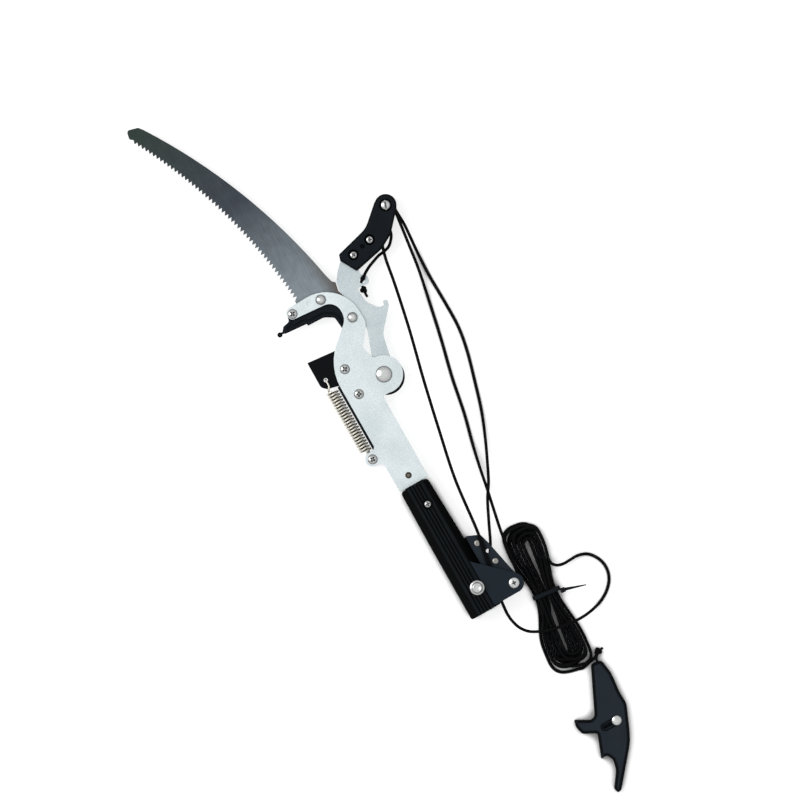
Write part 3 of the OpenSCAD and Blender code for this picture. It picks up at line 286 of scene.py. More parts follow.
def even_route(p, step):
    """The same route with points about step apart."""
    at = np.concatenate([[0], np.cumsum(np.linalg.norm(np.diff(p, axis=0), axis=1))])
    want = np.linspace(0, at[-1], max(2, round(at[-1] / step) + 1))
    return np.column_stack([np.interp(want, at, p[:, k]) for k in range(3)])


def route_length(p):
    """Length of a route."""
    return float(np.linalg.norm(np.diff(p, axis=0), axis=1).sum())


def ring_frames(p):
    """Two directions square to the route at each point, carried on without twist."""
    t = np.gradient(p, axis=0)
    t /= np.linalg.norm(t, axis=1)[:, None]
    side = np.cross(t[0], FIRST_SIDE)
    sides = []
    for d in t:
        side = side - side.dot(d) * d
        side /= np.linalg.norm(side)
        sides.append(side)
    sides = np.array(sides)
    return sides, np.cross(t, sides)


def ring_faces(count, sides):
    """Faces between so many rings, and a cap on each end."""
    faces = []
    for low in range(0, (count - 1) * sides, sides):
        for j in range(sides):
            k = (j + 1) % sides
            faces.append((low + j, low + k, low + sides + k, low + sides + j))
    last = (count - 1) * sides
    return faces + [tuple(range(sides - 1, -1, -1)), tuple(range(last, last + sides))]


def mesh_object(name, verts, faces, finish, uv=None):
    """An object at the origin from points in millimetres, smooth, with its finish and UV map."""
    mesh = bpy.data.meshes.new(name)
    mesh.from_pydata([tuple(v) for v in np.asarray(verts) * MM], [], faces)
    if uv is not None:
        layer = mesh.uv_layers.new(name="braid")
        layer.data.foreach_set("uv", np.array(uv, np.float32).ravel())
    mesh.shade_smooth()
    mesh.materials.append(finish)
    return placed(name, mesh)


def cord_tube(name, route, finish, swell=1.0):
    """Braided tube along a route in millimetres, fuller by swell where the cord lies slack."""
    right, up = ring_frames(route)
    steps = np.linalg.norm(np.diff(route, axis=0), axis=1)
    along = np.concatenate([[0], np.cumsum(steps)]) / BRAID_PITCH
    turn = np.arange(CORD_SIDES) / CORD_SIDES
    angle = 2 * math.pi * turn
    lobes = BRAID_STRANDS * turn[None, :]
    waves = [np.sin(2 * math.pi * (lobes + way * along[:, None])) for way in (1, -1)]
    full = np.broadcast_to(swell, len(route))[:, None]
    radius = CORD_D / 2 * full * (1 - BRAID_RELIEF + BRAID_RELIEF * waves[0] * waves[1])
    ring = np.cos(angle)[None, :, None] * right[:, None] + np.sin(angle)[None, :, None] * up[:, None]
    verts = (route[:, None] + radius[:, :, None] * ring).reshape(-1, 3)
    uv = []
    for low, high in zip(along[:-1], along[1:]):
        for j in range(CORD_SIDES):
            u0, u1 = BRAID_STRANDS * j / CORD_SIDES, BRAID_STRANDS * (j + 1) / CORD_SIDES
            uv += [(u0, low), (u1, low), (u1, high), (u0, high)]
    uv += [(0, 0)] * (2 * CORD_SIDES)
    return mesh_object(name, verts, ring_faces(len(route), CORD_SIDES), finish, uv)


def merged(parts):
    """Puts the meshes of several objects into the first one and drops the others."""
    form = bmesh.new()
    for part in parts:
        form.from_mesh(part.data)
    form.to_mesh(parts[0].data)
    form.free()
    for part in parts[1:]:
        bpy.data.objects.remove(part)
    return parts[0]


def stand_for(obj, slot, *solids):
    """Puts an object in place of solids of one body, on which it rides."""
    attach(obj, body_of[solids[0]])
    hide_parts(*solids)
    return obj


# %% [markdown]
# ## The tackle
#
# One rope makes three strands. It starts in a knot behind the lever's lug, runs into the pulley
# arm and over the back groove, falls slack to the sheave at the socket, comes up again over the
# front groove and leaves as the strand that the user pulls. The slack strands lie on the table.
# The route repeats the points of the solid that it replaces.

# %% Route of the tackle
UPPER_SHEAVE = (113, 403.3)
LOWER_SHEAVE = (38.2, 11.5)
UPPER_LANE_R = 6.5
LOWER_LANE_R = 7.4
BACK_LANE_Z = -0.3
FRONT_LANE_Z = 3.9
LOWER_LANE_Z = 1.1
TACKLE_SWELL = 1.2
LUG_BULGE, LUG_BULGE_AT, LUG_BULGE_LEN = 0.7, 6.5, 2.4
LUG_STRAND = [
    (54.3, 348.8, -0.6), (55.3, 349.5, 1.8), (56.3, 350.2, 4.2), (58.4, 351.7, 5.7), (62, 354.2, 5.5),
    (68, 357.6, 3.6), (75, 360.4, 1.4), (82, 362.8, 0), (89, 363.8, -0.3), (95, 365.6, -0.3),
    (99.5, 369.4, -0.3), (103.4, 375, -0.3), (105.4, 384, -0.3), (106.4, 395, -0.3),
]
SLACK_STRAND = [
    (119.4, 392, -0.8), (119.9, 378, -3), (118.8, 362, -7), (117.4, 344, -12), (116.4, 320, -14),
    (116.8, 290, -14), (116.4, 262, -14), (112.5, 238, -14), (103.5, 205, -14), (95, 177, -13),
    (85.5, 153, -11), (75, 130, -7), (65.5, 111, -1.6), (57, 98, 0.6), (47, 78, 1.1), (37, 57, 1.1),
    (31.4, 48, 1.1), (28.3, 41, 1.1), (28.3, 34, 1.1), (29.6, 23, 1.1),
]
RETURN_STRAND = [
    (46.4, 22, 1.1), (48.4, 33, 0.8), (52, 61, -1.5), (57, 86, -4.6), (61.2, 106, -6.8), (66, 131, -10),
    (71, 153, -13), (78.4, 182, -14), (86, 221, -14), (95.2, 259, -14), (104.2, 301, -13),
    (110.2, 331, -9), (114.2, 360, -2), (117.8, 388, 3.2),
]
HAUL_STRAND = [
    (98, 385.8, 3.9), (90.6, 370, 3.9), (87, 358, 4), (82.2, 331, 4.4), (72.2, 283, 5.3), (60.2, 234, 6.2),
    (48.4, 181, 7.2), (38.2, 131, 8.1), (31.4, 72, 9.2), (26.8, 48, 9.2), (21.6, 18, 9.2), (18.5, 3, 9.2),
    (18, 0, 9.2),
]


def round_sheave(middle, radius, z, start, stop):
    """Points round a sheave between two angles in degrees."""
    return [
        (middle[0] + radius * math.cos(math.radians(a)), middle[1] + radius * math.sin(math.radians(a)), z)
        for a in np.linspace(start, stop, 9)
    ]


tackle_points = (
    LUG_STRAND
    + round_sheave(UPPER_SHEAVE, UPPER_LANE_R, BACK_LANE_Z, 180, 0)
    + SLACK_STRAND
    + round_sheave(LOWER_SHEAVE, LOWER_LANE_R, LOWER_LANE_Z, 180, 360)
    + RETURN_STRAND
    + round_sheave(UPPER_SHEAVE, UPPER_LANE_R, FRONT_LANE_Z, 0, 180)
    + HAUL_STRAND
)
tackle_route = smooth_route(tackle_points, RING_STEP)
tackle_along = np.arange(len(tackle_route)) * RING_STEP
lug_bulge = LUG_BULGE * np.exp(-(((tackle_along - LUG_BULGE_AT) / LUG_BULGE_LEN) ** 2))
tackle = cord_tube("tackle_rope", tackle_route, braid, TACKLE_SWELL + lug_bulge)
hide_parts("pull_rope")
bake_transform(tackle)
print("tackle rope, mm:", round(route_length(tackle_route)))

# %% [markdown]
# ## The hank
#
# The spare rope leaves the bracket, makes one loose loop and is wound into a hank with a waist
# that a tie draws in. The hank's turns come from the same rule as the solid: layers of loops,
# spiralling in and out, from the top layer down. After the last turn the rope runs along the table
# into the knot at the handle, where it ends.

# %% Route of the spare rope
HANK_AT = (60.9, -16.9)
HANK_TILT = -6.7
HANK_HALF, HANK_WAIST, HANK_NECK = 80, 12.8, 3
HANK_TOP, HANK_TOP_SWAY, HANK_TOP_FAN = 18.5, 2.8, 1.16
HANK_BOTTOM, HANK_BOTTOM_SWAY, HANK_BOTTOM_LEAN, HANK_BOTTOM_SLANT = 18, 5, -2, -0.15
HANK_FAN, HANK_TALL, HANK_SHORT = 1.04, 1.5, 1.2
HANK_SQUARE, HANK_FOLD_SHARE = 0.8, 0.2
HANK_TOP_OPEN, HANK_BOTTOM_OPEN = 50, 55
HANK_LIFT, HANK_LIFT_LEN, HANK_TIE_HALF = 2.2, 22, 4
HANK_STEP, HANK_LAYER = 3.5, 3.35
HANK_PER_LAYER, HANK_CLIMB = 3, 0.25
HANK_FIRST, HANK_LAST = 0.0975, 11.76
HANK_RINGS = 96
HANK_SWELL, SLACK_SWELL, SWELL_RINGS = 1.17, 1.18, 20
HANK_LEAVE = 4
LOOSE_LOOP = [
    (18, -0.1, 9.2), (17.4, -6, 8.6), (17, -12, 6.8), (17.6, -20, 3.6), (20.6, -30, 0.6), (26, -37.4, -0.2),
    (32, -41.6, -0.4), (42, -46, -0.4), (54, -49.4, -0.4), (66, -51.6, -0.4), (76, -52.4, -0.6),
    (86, -52.2, -4.4), (96, -50.6, -10.5), (105, -47.8, -14), (115.2, -41.6, -14), (122.4, -33.6, -14),
    (125.8, -24.6, -14), (125.6, -15.4, -14), (122.2, -7, -14), (116, 0, -13.4), (107, 3.2, -12),
    (98, 3.2, -10.2), (90.5, 3.2, -8.6), (84.2, 5.2, -6.6), (80.4, 9.6, -4.8),
]
KNOT_AT = np.array((77.4, -90.4, -11.6))
KNOT_IN = np.array((1, 0.7, 0)) / math.hypot(1, 0.7)
KNOT_LEAD = 6
TAIL_BEND = (64, -95.6, -14.1)


def ease(s):
    """Smooth step from 0 to 1."""
    return (1 - math.cos(math.pi * min(1, max(0, s)))) / 2


def hank_fold(b, n):
    """Place on a fold at angle b: a half circle of radius 1, squarer where n is over 2."""
    return [math.copysign(abs(v) ** (2 / n), v) for v in (math.cos(b), math.sin(b))]


def hank_loop(f, half, top_r, bottom_r, n):
    """Side (1 to -1) and height at share f of a loop with straight sides and round ends."""
    side = (1 - 2 * HANK_FOLD_SHARE) / 4
    top, bottom = half - top_r, half - bottom_r
    left = (f - side - HANK_FOLD_SHARE) / side
    if f < side:
        return 1, top * f / side
    if left < 0:
        x, y = hank_fold(math.pi * (f - side) / HANK_FOLD_SHARE, n)
        return x, top + top_r * y
    if left < 2:
        return -1, (top if left < 1 else bottom) * (1 - left)
    if f < 1 - side:
        x, y = hank_fold(math.pi * (f - 3 * side - HANK_FOLD_SHARE) / HANK_FOLD_SHARE, n)
        return -x, -bottom - bottom_r * y
    return 1, -bottom * (1 - f) / side


def hank_point(t):
    """Point of the hank at turn t: layers wind in and out by turns, and sway apart at the ends."""
    layer = min(3, int((t + 0.5) // HANK_PER_LAYER))
    s = t + 0.5 - layer * HANK_PER_LAYER
    inset = HANK_STEP * (s if layer % 2 == 0 else HANK_PER_LAYER - s)
    level = 3 if layer == 3 else layer + ease((s - HANK_PER_LAYER) / HANK_CLIMB + 1)
    side, y = hank_loop(
        t % 1,
        HANK_HALF - CORD_D / 2 - HANK_TALL * inset - HANK_SHORT * (3 - layer),
        HANK_TOP - CORD_D / 2 - HANK_TOP_FAN * inset,
        HANK_BOTTOM - CORD_D / 2 - HANK_FAN * inset,
        2 + HANK_SQUARE * (1 - inset / (HANK_PER_LAYER * HANK_STEP)),
    )
    upper = y > HANK_NECK
    opened = ease(abs(y - HANK_NECK) / (HANK_TOP_OPEN if upper else HANK_BOTTOM_OPEN))
    half = HANK_WAIST + ((HANK_TOP if upper else HANK_BOTTOM) - HANK_WAIST) * opened
    sway = (1 if layer % 2 == 0 else -1) * (HANK_TOP_SWAY if upper else HANK_BOTTOM_SWAY)
    shift = (sway + (0 if upper else HANK_BOTTOM_LEAN)) * opened
    fan = HANK_TOP_FAN if upper else HANK_FAN
    x = (half - CORD_D / 2 - inset * (1 + (fan - 1) * opened)) * side + shift
    along = y + (0 if upper else HANK_BOTTOM_SLANT) * x * opened
    lift = HANK_LIFT * (1 - ease((abs(y - HANK_NECK) - HANK_TIE_HALF) / HANK_LIFT_LEN))
    tilt = math.radians(HANK_TILT)
    return (
        HANK_AT[0] + x * math.cos(tilt) - along * math.sin(tilt),
        HANK_AT[1] + x * math.sin(tilt) + along * math.cos(tilt),
        floor_z / MM + CORD_D / 2 + lift + HANK_LAYER * (3 - level),
    )


def onward(start, stop, distance):
    """Point so far past stop, on the line from start."""
    way = np.subtract(stop, start)
    return tuple(stop + distance * way / np.linalg.norm(way))


turn_count = round((HANK_LAST - HANK_FIRST) * HANK_RINGS)
turn_share = np.arange(turn_count + 1) / turn_count
hank_turns = [hank_point(t) for t in HANK_FIRST + (HANK_LAST - HANK_FIRST) * turn_share]
lead_in = [onward(hank_turns[1], hank_turns[0], CORD_D)]
lead_out = [onward(hank_turns[-2], hank_turns[-1], far) for far in (CORD_D, CORD_D + HANK_LEAVE)]
tail = [TAIL_BEND, tuple(KNOT_AT - KNOT_LEAD * KNOT_IN), tuple(KNOT_AT)]
spare_route = smooth_route(LOOSE_LOOP + lead_in + hank_turns + lead_out + tail, RING_STEP)
hank_ends = hank_turns[0], hank_turns[-1]
hank_low, hank_high = (np.linalg.norm(spare_route - end, axis=1).argmin() for end in hank_ends)
ring_at = np.arange(len(spare_route))
wound = np.clip(np.minimum(ring_at - hank_low, hank_high - ring_at) / SWELL_RINGS + 0.5, 0, 1)
spare = cord_tube("spare_rope", spare_route, braid, SLACK_SWELL + (HANK_SWELL - SLACK_SWELL) * wound)
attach(spare, "frame")
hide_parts("rope_lead", "rope_hank", "handle_cord")
print("spare rope, mm:", round(route_length(spare_route)))

# %% [markdown]
# ## Knots
#
# The rope's two knots are overhand knots pulled tight. Such a knot is a trefoil: three crossings
# in a ring. The cord follows it once. A link leads from it into the lug or the handle, and a short
# end sticks out.

# %% Overhand knots
KNOT_RINGS = 60
KNOT_SWELL = 1.2


def trefoil(middle, size, height, turn):
    """Points of a pulled overhand knot round its middle."""
    points = []
    for t in np.linspace(0, 2 * math.pi, KNOT_RINGS):
        x, y = math.sin(t) + 2 * math.sin(2 * t), math.cos(t) - 2 * math.cos(2 * t)
        c, s = math.cos(math.radians(turn)), math.sin(math.radians(turn))
        away = size * (x * c - y * s), size * (x * s + y * c), -height * math.sin(3 * t)
        points.append(tuple(np.add(middle, away)))
    return points


def knot(name, node, middle, size, height, turn, *ends):
    """A knot and its ends as one mesh on the body of the solid that it replaces."""
    ring = smooth_route(trefoil(middle, size, height, turn), RING_STEP)
    parts = [cord_tube(name, ring, braid, KNOT_SWELL)]
    parts += [cord_tube(name + "_end", smooth_route([middle, *end], RING_STEP), braid) for end in ends]
    obj = merged(parts)
    obj.data.shade_smooth()
    return stand_for(obj, "rope_black", node)


LUG_KNOT = (52.2, 340.4, -3.6)
LUG_LINK = [(53, 346, -3.5), (53.6, 348.1, -2.5), (54.24, 348.76, -0.74)]
LUG_TAIL = [(51.9, 336, -4), (51.9, 332.4, -4.4)]
lug_knot = knot("lug_knot", "lever_knot", LUG_KNOT, 0.8, 0.9, 20, LUG_LINK, LUG_TAIL)
PULL_LINK = [(75.2, -92.4, -10.6), (72.6, -95.4, -9.7), (71.8, -98.4, -9.5), (69.4, -107, -9.5)]
PULL_TAIL = [(80.4, -89.9, -11.4), (83.4, -89.6, -11.8)]
pull_knot = knot("pull_knot", "handle_knot", tuple(KNOT_AT), 0.9, 1.1, 50, PULL_LINK, PULL_TAIL)
print("knots:", lug_knot.name, pull_knot.name)

# %% [markdown]
# ## Stage and light
#
# The photograph's background is plain white, and its bright metal has dark rims. So the sky is
# white overhead and grey near the horizon, which a flat face and a dome reflect differently. One
# broad soft lamp adds a direction. The pale floor glows for the camera and for mirrors alone, so
# that it comes out white without lighting the tool from below. In the narrow gaps between cords
# it doesn't glow.

# %% Floor, sky and lamp
FLOOR_SIZE = 8
FLOOR_DROP = 0.1
FLOOR_GLOW = 0.68
GAP_REACH = 12
GAP_DARK, GAP_OPEN = 0.54, 0.7
SKY_ZENITH = 1.0
SKY_HORIZON = 0.08
SKY_FROM, SKY_TO = 0.2, 0.95
LAMP_WATTS = 16
LAMP_SIZE = 1.2
LAMP_AT = (-1.1, 1.2, 1.9)


def matte_board():
    """Pale seamless board: nearly white and dull, with the faintest mottling."""
    finish, tree, coords = new_finish("pale matte board")
    shade = mixed(tree, noise(tree, coords["Object"], 40, 2), "#C6C6C6", "#CBCBCB")
    path = add(tree, "ShaderNodeLightPath").outputs
    seen = path["Is Camera Ray"]
    for ray in ("Is Glossy Ray", "Is Transmission Ray"):
        seen = figured(tree, "MAXIMUM", seen, path[ray])
    # The glow fades where the floor is hemmed in, between cords and close to the tool: painted shade.
    lit = ranged(tree, openness(tree, GAP_REACH), GAP_DARK, GAP_OPEN, 0, FLOOR_GLOW)
    return close_finish(finish, {
        "Base Color": shade,
        "Roughness": 0.9,
        "Specular IOR Level": 0.1,
        "Emission Color": (1, 1, 1, 1),
        "Emission Strength": figured(tree, "MULTIPLY", seen, lit),
    })


half = FLOOR_SIZE / 2 / MM
drop = floor_z / MM - FLOOR_DROP
corners = [(-half, -half, drop), (half, -half, drop), (half, half, drop), (-half, half, drop)]
floor = mesh_object("floor", corners, [(0, 1, 2, 3)], matte_board())

world = bpy.data.worlds.new("sky")
bpy.context.scene.world = world
world.use_nodes = True
sky = world.node_tree
climb = split(sky, add(sky, "ShaderNodeTexCoord").outputs["Generated"])["Z"]
bright = ranged(sky, climb, SKY_FROM, SKY_TO, SKY_HORIZON, SKY_ZENITH)
sky.links.new(bright, sky.nodes["Background"].inputs["Strength"])
sky.nodes["Background"].inputs["Color"].default_value = (1, 1, 1, 1)

lamp_data = bpy.data.lights.new("soft_lamp", "AREA")
lamp_data.energy = LAMP_WATTS
lamp_data.size = LAMP_SIZE
lamp = placed("soft_lamp", lamp_data)
lamp.location = LAMP_AT
aim = Vector((*PICTURE_MIDDLE, 0)) * MM - lamp.location
lamp.rotation_euler = aim.to_track_quat("-Z", "Y").to_euler()
bpy.context.scene.view_settings.view_transform = "Standard"
print("lamp at, m:", LAMP_AT)

# %% [markdown]
# ## Steel finishes
#
# The plates and the lever are bright steel with a sandblasted face: pale, a little blue, with a
# fine grit of lighter and darker specks. The saw is ground steel, lighter at its base and darker
# at its tip, with long grinding marks. Screws, nuts and wire are nickel plated and smooth.

# %% Sandblasted steel
def sandblasted_steel(name, dark, pale):
    """Blasted steel: each speck tilts the light a little, so the face sparkles without a mirror."""
    finish, tree, coords = new_finish(name)
    grit = noise(tree, coords["Object"], 1.1, 3, 0.7)
    speckle = between(tree, 0.3, grit, noise(tree, coords["Object"], 26, 2))
    return close_finish(finish, {
        "Metallic": 1,
        "Base Color": mixed(tree, ranged(tree, speckle, 0.35, 0.65), dark, pale),
        "Roughness": ranged(tree, grit, 0, 1, 0.36, 0.52),
        "Normal": bumped(tree, grit, 0.35, 0.06),
    })


plate_steel = sandblasted_steel("sandblasted steel plate", "#C4D0D3", "#E9F0F2")
# The lever's copy is darker: painted shade, as the lever lies below the edge of the front plate.
shaded_lever_steel = sandblasted_steel("sandblasted steel lever", "#B0BCC0", "#D4DDE0")

# %% [markdown]
# The saw's marks are noise stretched along the blade. Its tone follows the blade's length, and
# the corner by the frame, where the blade runs behind the lever, gets a brownish painted shade.

# %% Ground saw steel
SAW_BASE_Y, SAW_TIP_Y = 363, 592
SAW_LEAN = 17
LEVER_SHADE_FROM, LEVER_SHADE_TO = 14, 32


def ground_saw_steel():
    """Ground and hardened steel: grinding marks run along the blade, and it darkens to its tip."""
    finish, tree, coords = new_finish("ground saw steel")
    grain = {"Rotation": (0, 0, math.radians(-SAW_LEAN)), "Scale": (1, 0.05, 1), "Vector": coords["Object"]}
    marks = noise(tree, add(tree, "ShaderNodeMapping", grain).outputs["Vector"], 0.9, 4)
    place = split(tree, coords["Object"])
    length = ranged(tree, place["Y"], SAW_BASE_Y * MM, SAW_TIP_Y * MM)
    tone = mixed(tree, ranged(tree, length, 0, 0.5), "#848E94", "#42474F")
    tone = mixed(tree, ranged(tree, length, 0.5, 1), tone, "#343E3A")
    # The corner under the lever gets a brownish dark tone: painted shade.
    tone = mixed(tree, ranged(tree, place["X"], LEVER_SHADE_FROM * MM, LEVER_SHADE_TO * MM), tone, "#57504B")
    streak = between(tree, 0.35, marks, noise(tree, coords["Object"], 9, 3))
    return close_finish(finish, {
        "Metallic": 1,
        "Base Color": darkened(tree, tone, ranged(tree, streak, 0.3, 0.7, 0.78, 1.18)),
        "Roughness": ranged(tree, marks, 0, 1, 0.3, 0.48),
        "Normal": bumped(tree, marks, 0.2, 0.04),
    })


saw_steel = ground_saw_steel()

# %% [markdown]
# Small bright parts share one finish function. Painted shade in recesses and between coils
# keeps their shapes readable from afar.

# %% Nickel plate, drawn wire and brass
DEEPEST_SHADE = 0.02


def smooth_metal(name, dark, pale, low, high, crevice=None):
    """Plated or turned metal with handling marks. Crevices, or what isn't marked outer, get painted shade."""
    finish, tree, coords = new_finish(name)
    marks = noise(tree, coords["Object"], 3, 4)
    # Ambient occlusion, or the outer attribute, darkens the colour here: painted shade.
    if crevice:
        unshaded = ranged(tree, openness(tree, crevice), 0.5, 0.92, DEEPEST_SHADE)
    else:
        outer = add(tree, "ShaderNodeAttribute", {"attribute_name": "outer"})
        unshaded = ranged(tree, outer.outputs["Fac"], 0, 1, DEEPEST_SHADE)
    return close_finish(finish, {
        "Metallic": 1,
        "Base Color": darkened(tree, mixed(tree, marks, dark, pale), unshaded),
        "Roughness": ranged(tree, marks, 0, 1, low, high),
    })


nickel = smooth_metal("bright nickel plate", "#B8BABA", "#DCDEDD", 0.14, 0.3, 2.6)
wire = smooth_metal("drawn spring wire", "#E2DED2", "#F6F3E8", 0.34, 0.48)
dull_nickel = smooth_metal("dull nickel plate", "#8E8C88", "#B4B1AB", 0.3, 0.45, 1.6)
brass = smooth_metal("turned brass", "#B08A45", "#D2AE66", 0.2, 0.4, 1.6)
aged = smooth_metal("aged rivet steel", "#4A4642", "#8B8378", 0.35, 0.5, 1.2)

# %% [markdown]
# ## Black finishes
#
# The mouldings are black nylon with a fine grain from the tool they were moulded in. The cutter
# blade has a thin black non-stick coating over ground steel, smoother and a little glossier.

# %% Moulded nylon and coated steel
WING_FROM, WING_TOP = 10.2, 13.9
NOOK = 3.5


def moulded_nylon(name, side, dark, pale, grain, gloss_low, gloss_high, shine, wing=None):
    """Moulded nylon: its flat faces have a grey grain; its slopes, sides and nooks get painted shade."""
    finish, tree, coords = new_finish(name)
    spark = noise(tree, coords["Object"], grain, 3)
    shade = mixed(tree, noise(tree, coords["Object"], 18, 2), dark, pale)
    if wing:
        place = split(tree, coords["Object"])
        outside = figured(tree, "GREATER_THAN", place["X"], WING_FROM * MM)
        on_top = figured(tree, "GREATER_THAN", place["Z"], WING_TOP * MM)
        shade = mixed(tree, figured(tree, "MULTIPLY", outside, on_top), shade, wing)
    # Faces that don't look up take the side colour, and ambient occlusion darkens nooks: painted shade.
    level = figured(tree, "ABSOLUTE", split(tree, coords["Normal"])["Z"])
    shade = mixed(tree, ranged(tree, level, 0.8, 0.97), side, shade)
    return close_finish(finish, {
        "Base Color": darkened(tree, shade, ranged(tree, openness(tree, NOOK), 0.45, 0.9, 0.1)),
        "Roughness": ranged(tree, spark, 0, 1, gloss_low, gloss_high),
        "Specular IOR Level": shine,
        "Normal": bumped(tree, spark, 0.3, 0.05),
    })


nylon = moulded_nylon("moulded black nylon", "#040506", "#12171B", "#1B2127", 0.8, 0.4, 0.58, 0.05)
socket_nylon = moulded_nylon(
    "moulded socket nylon", "#030405", "#101417", "#181D21", 0.8, 0.36, 0.52, 0.05, wing="#222A32"
)
grey_nylon = moulded_nylon("moulded grey-black nylon", "#0B0E11", "#20272E", "#2A323A", 0.8, 0.42, 0.6, 0.06)
coated = moulded_nylon("black coated blade steel", "#06070A", "#0B0D10", "#111418", 1.4, 0.34, 0.5, 0.04)

# %% [markdown]
# ## Softened edges
#
# A cut plate or a moulding never has a perfectly sharp edge: a thin line of light runs along it.
# Each solid is copied, its loose triangles are merged into clean faces, and a narrow bevel goes
# round every edge sharper than 35 degrees. The copy stands for the solid and rides on its body.

# %% Softened copies of the solids
MERGE = 0.002
FLAT_ANGLE = 0.5
EDGE_ANGLE = 35


def clean_form(node):
    """The mesh of a solid, with the corners of its loose triangles joined."""
    form = bmesh.new()
    form.from_mesh(nodes[node].data)
    bmesh.ops.remove_doubles(form, verts=form.verts, dist=MERGE * MM)
    return form


def smooth_mesh(form, name, sharp):
    """A mesh from a form, smooth except at edges sharper than so many degrees."""
    mesh = bpy.data.meshes.new(name)
    form.to_mesh(mesh)
    form.free()
    mesh.shade_smooth()
    mesh.set_sharp_from_angle(angle=math.radians(sharp))
    return mesh


def bake(obj):
    """Keeps the mesh that an object's modifiers make."""
    bpy.context.view_layer.update()
    done = bpy.data.meshes.new_from_object(obj.evaluated_get(bpy.context.evaluated_depsgraph_get()))
    obj.modifiers.clear()
    obj.data = done


def dress(mesh, finish):
    """Gives a mesh one finish and no other."""
    mesh.materials.clear()
    mesh.materials.append(finish)


def soften(node, finish, width, slot):
    """A copy of a solid with merged faces and bevelled edges, in place of the solid."""
    form = clean_form(node)
    bmesh.ops.dissolve_limit(
        form, angle_limit=math.radians(FLAT_ANGLE), verts=form.verts, edges=form.edges, delimit={"NORMAL"}
    )
    mesh = smooth_mesh(form, node + "_soft", EDGE_ANGLE)
    obj = placed(node + "_soft", mesh)
    bevel = obj.modifiers.new("edge", "BEVEL")
    bevel.width = width * MM
    bevel.segments = 4
    bevel.limit_method = "ANGLE"
    bevel.angle_limit = math.radians(EDGE_ANGLE)
    bevel.use_clamp_overlap = True
    level = obj.modifiers.new("flat faces", "WEIGHTED_NORMAL")
    level.keep_sharp = True
    bake(obj)
    bpy.data.meshes.remove(mesh)
    dress(obj.data, finish)
    return stand_for(obj, slot, node)


softened = {}
for node, finish, width, slot in (
    ("front_plate", plate_steel, 0.5, "plate_steel"),
    ("back_plate", plate_steel, 0.35, "plate_steel"),
    ("lever", shaded_lever_steel, 0.3, "plate_steel"),
    ("saw_blade", saw_steel, 0.15, "saw_steel"),
    ("cutter_blade", coated, 0.2, "blade_black"),
    ("pole_socket", socket_nylon, 0.4, "nylon_black"),
    ("guide_plate", grey_nylon, 0.4, "nylon_black"),
    ("core_tang", nylon, 0.3, "nylon_black"),
    ("arm_back", nylon, 0.7, "nylon_black"),
    ("upper_sheave", nylon, 0.15, "nylon_black"),
    ("lower_sheave", nylon, 0.15, "nylon_black"),
    ("hank_tie", nylon, 0.3, "nylon_black"),
):
    softened[node] = soften(node, finish, width, slot)
    print(node, len(softened[node].data.polygons), "faces")

# %% [markdown]
# ## Shaped tops
#
# The handle's flat top falls away all round in a broad slope, the pulley arm has well rounded
# edges, and the hook's liner has a ridge along its edge. So the top of each is made anew as a net,
# whose height follows a profile: how far the top drops at each distance from the outline.

# %% Tops that follow a profile
EDGE_STEP = 0.8
NET_CLEAR = 0.25
ROW_SLACK = 0.02


def loops_of(edges):
    """Closed chains of vertices along edges, the one with the largest span first."""
    beside = {}
    for edge in edges:
        for a, b in (edge.verts, reversed(edge.verts)):
            beside.setdefault(a, []).append(b)
    loops = []
    while beside:
        chain = [next(iter(beside))]
        while chain[-1] in beside:
            ahead = [v for v in beside.pop(chain[-1]) if v in beside]
            if ahead:
                chain.append(ahead[0])
        loops.append(chain)
    return sorted(loops, key=lambda chain: -np.ptp([v.co.xy for v in chain], axis=0).max())


def inside(points, ring):
    """Which points lie in a closed ring."""
    x, y = points[:, 0, None], points[:, 1, None]
    a, b = ring, np.roll(ring, -1, axis=0)
    spans = (a[:, 1] > y) != (b[:, 1] > y)
    rise = np.where(a[:, 1] == b[:, 1], 1, b[:, 1] - a[:, 1])
    left = x < a[:, 0] + (y - a[:, 1]) * (b[:, 0] - a[:, 0]) / rise
    return (spans & left).sum(axis=1) % 2 == 1


def reach(points, ring):
    """Distance of points from a closed ring."""
    a, d = ring, np.roll(ring, -1, axis=0) - ring
    t = ((points[:, None] - a) * d).sum(axis=2) / np.maximum((d * d).sum(axis=1), 1e-9)
    near = a + np.clip(t, 0, 1)[:, :, None] * d
    return np.linalg.norm(points[:, None] - near, axis=2).min(axis=1)


def net_in(rings, lines, step):
    """Points in the first ring and in no other: a net, and rows at given distances from the ring."""
    low, high = rings[0].min(axis=0), rings[0].max(axis=0)
    across, up = (np.arange(low[k], high[k], step) for k in (0, 1))
    net = [np.array([(x, y) for x in across for y in up])]
    closed = np.column_stack([np.vstack([rings[0], rings[0][:1]]), np.zeros(len(rings[0]) + 1)])
    edge = even_route(closed, EDGE_STEP)[:-1, :2]
    way = np.roll(edge, -1, axis=0) - np.roll(edge, 1, axis=0)
    inward = np.column_stack([-way[:, 1], way[:, 0]]) / np.linalg.norm(way, axis=1)[:, None]
    for line in lines:
        for row in (edge + line * inward, edge - line * inward):
            net.append(row[reach(row, rings[0]) > line - ROW_SLACK])
    net = np.vstack(net)
    net = net[inside(net, rings[0])]
    for ring in rings:
        net = net[reach(net, ring) > NET_CLEAR]
    for ring in rings[1:]:
        net = net[~inside(net, ring)]
    return net


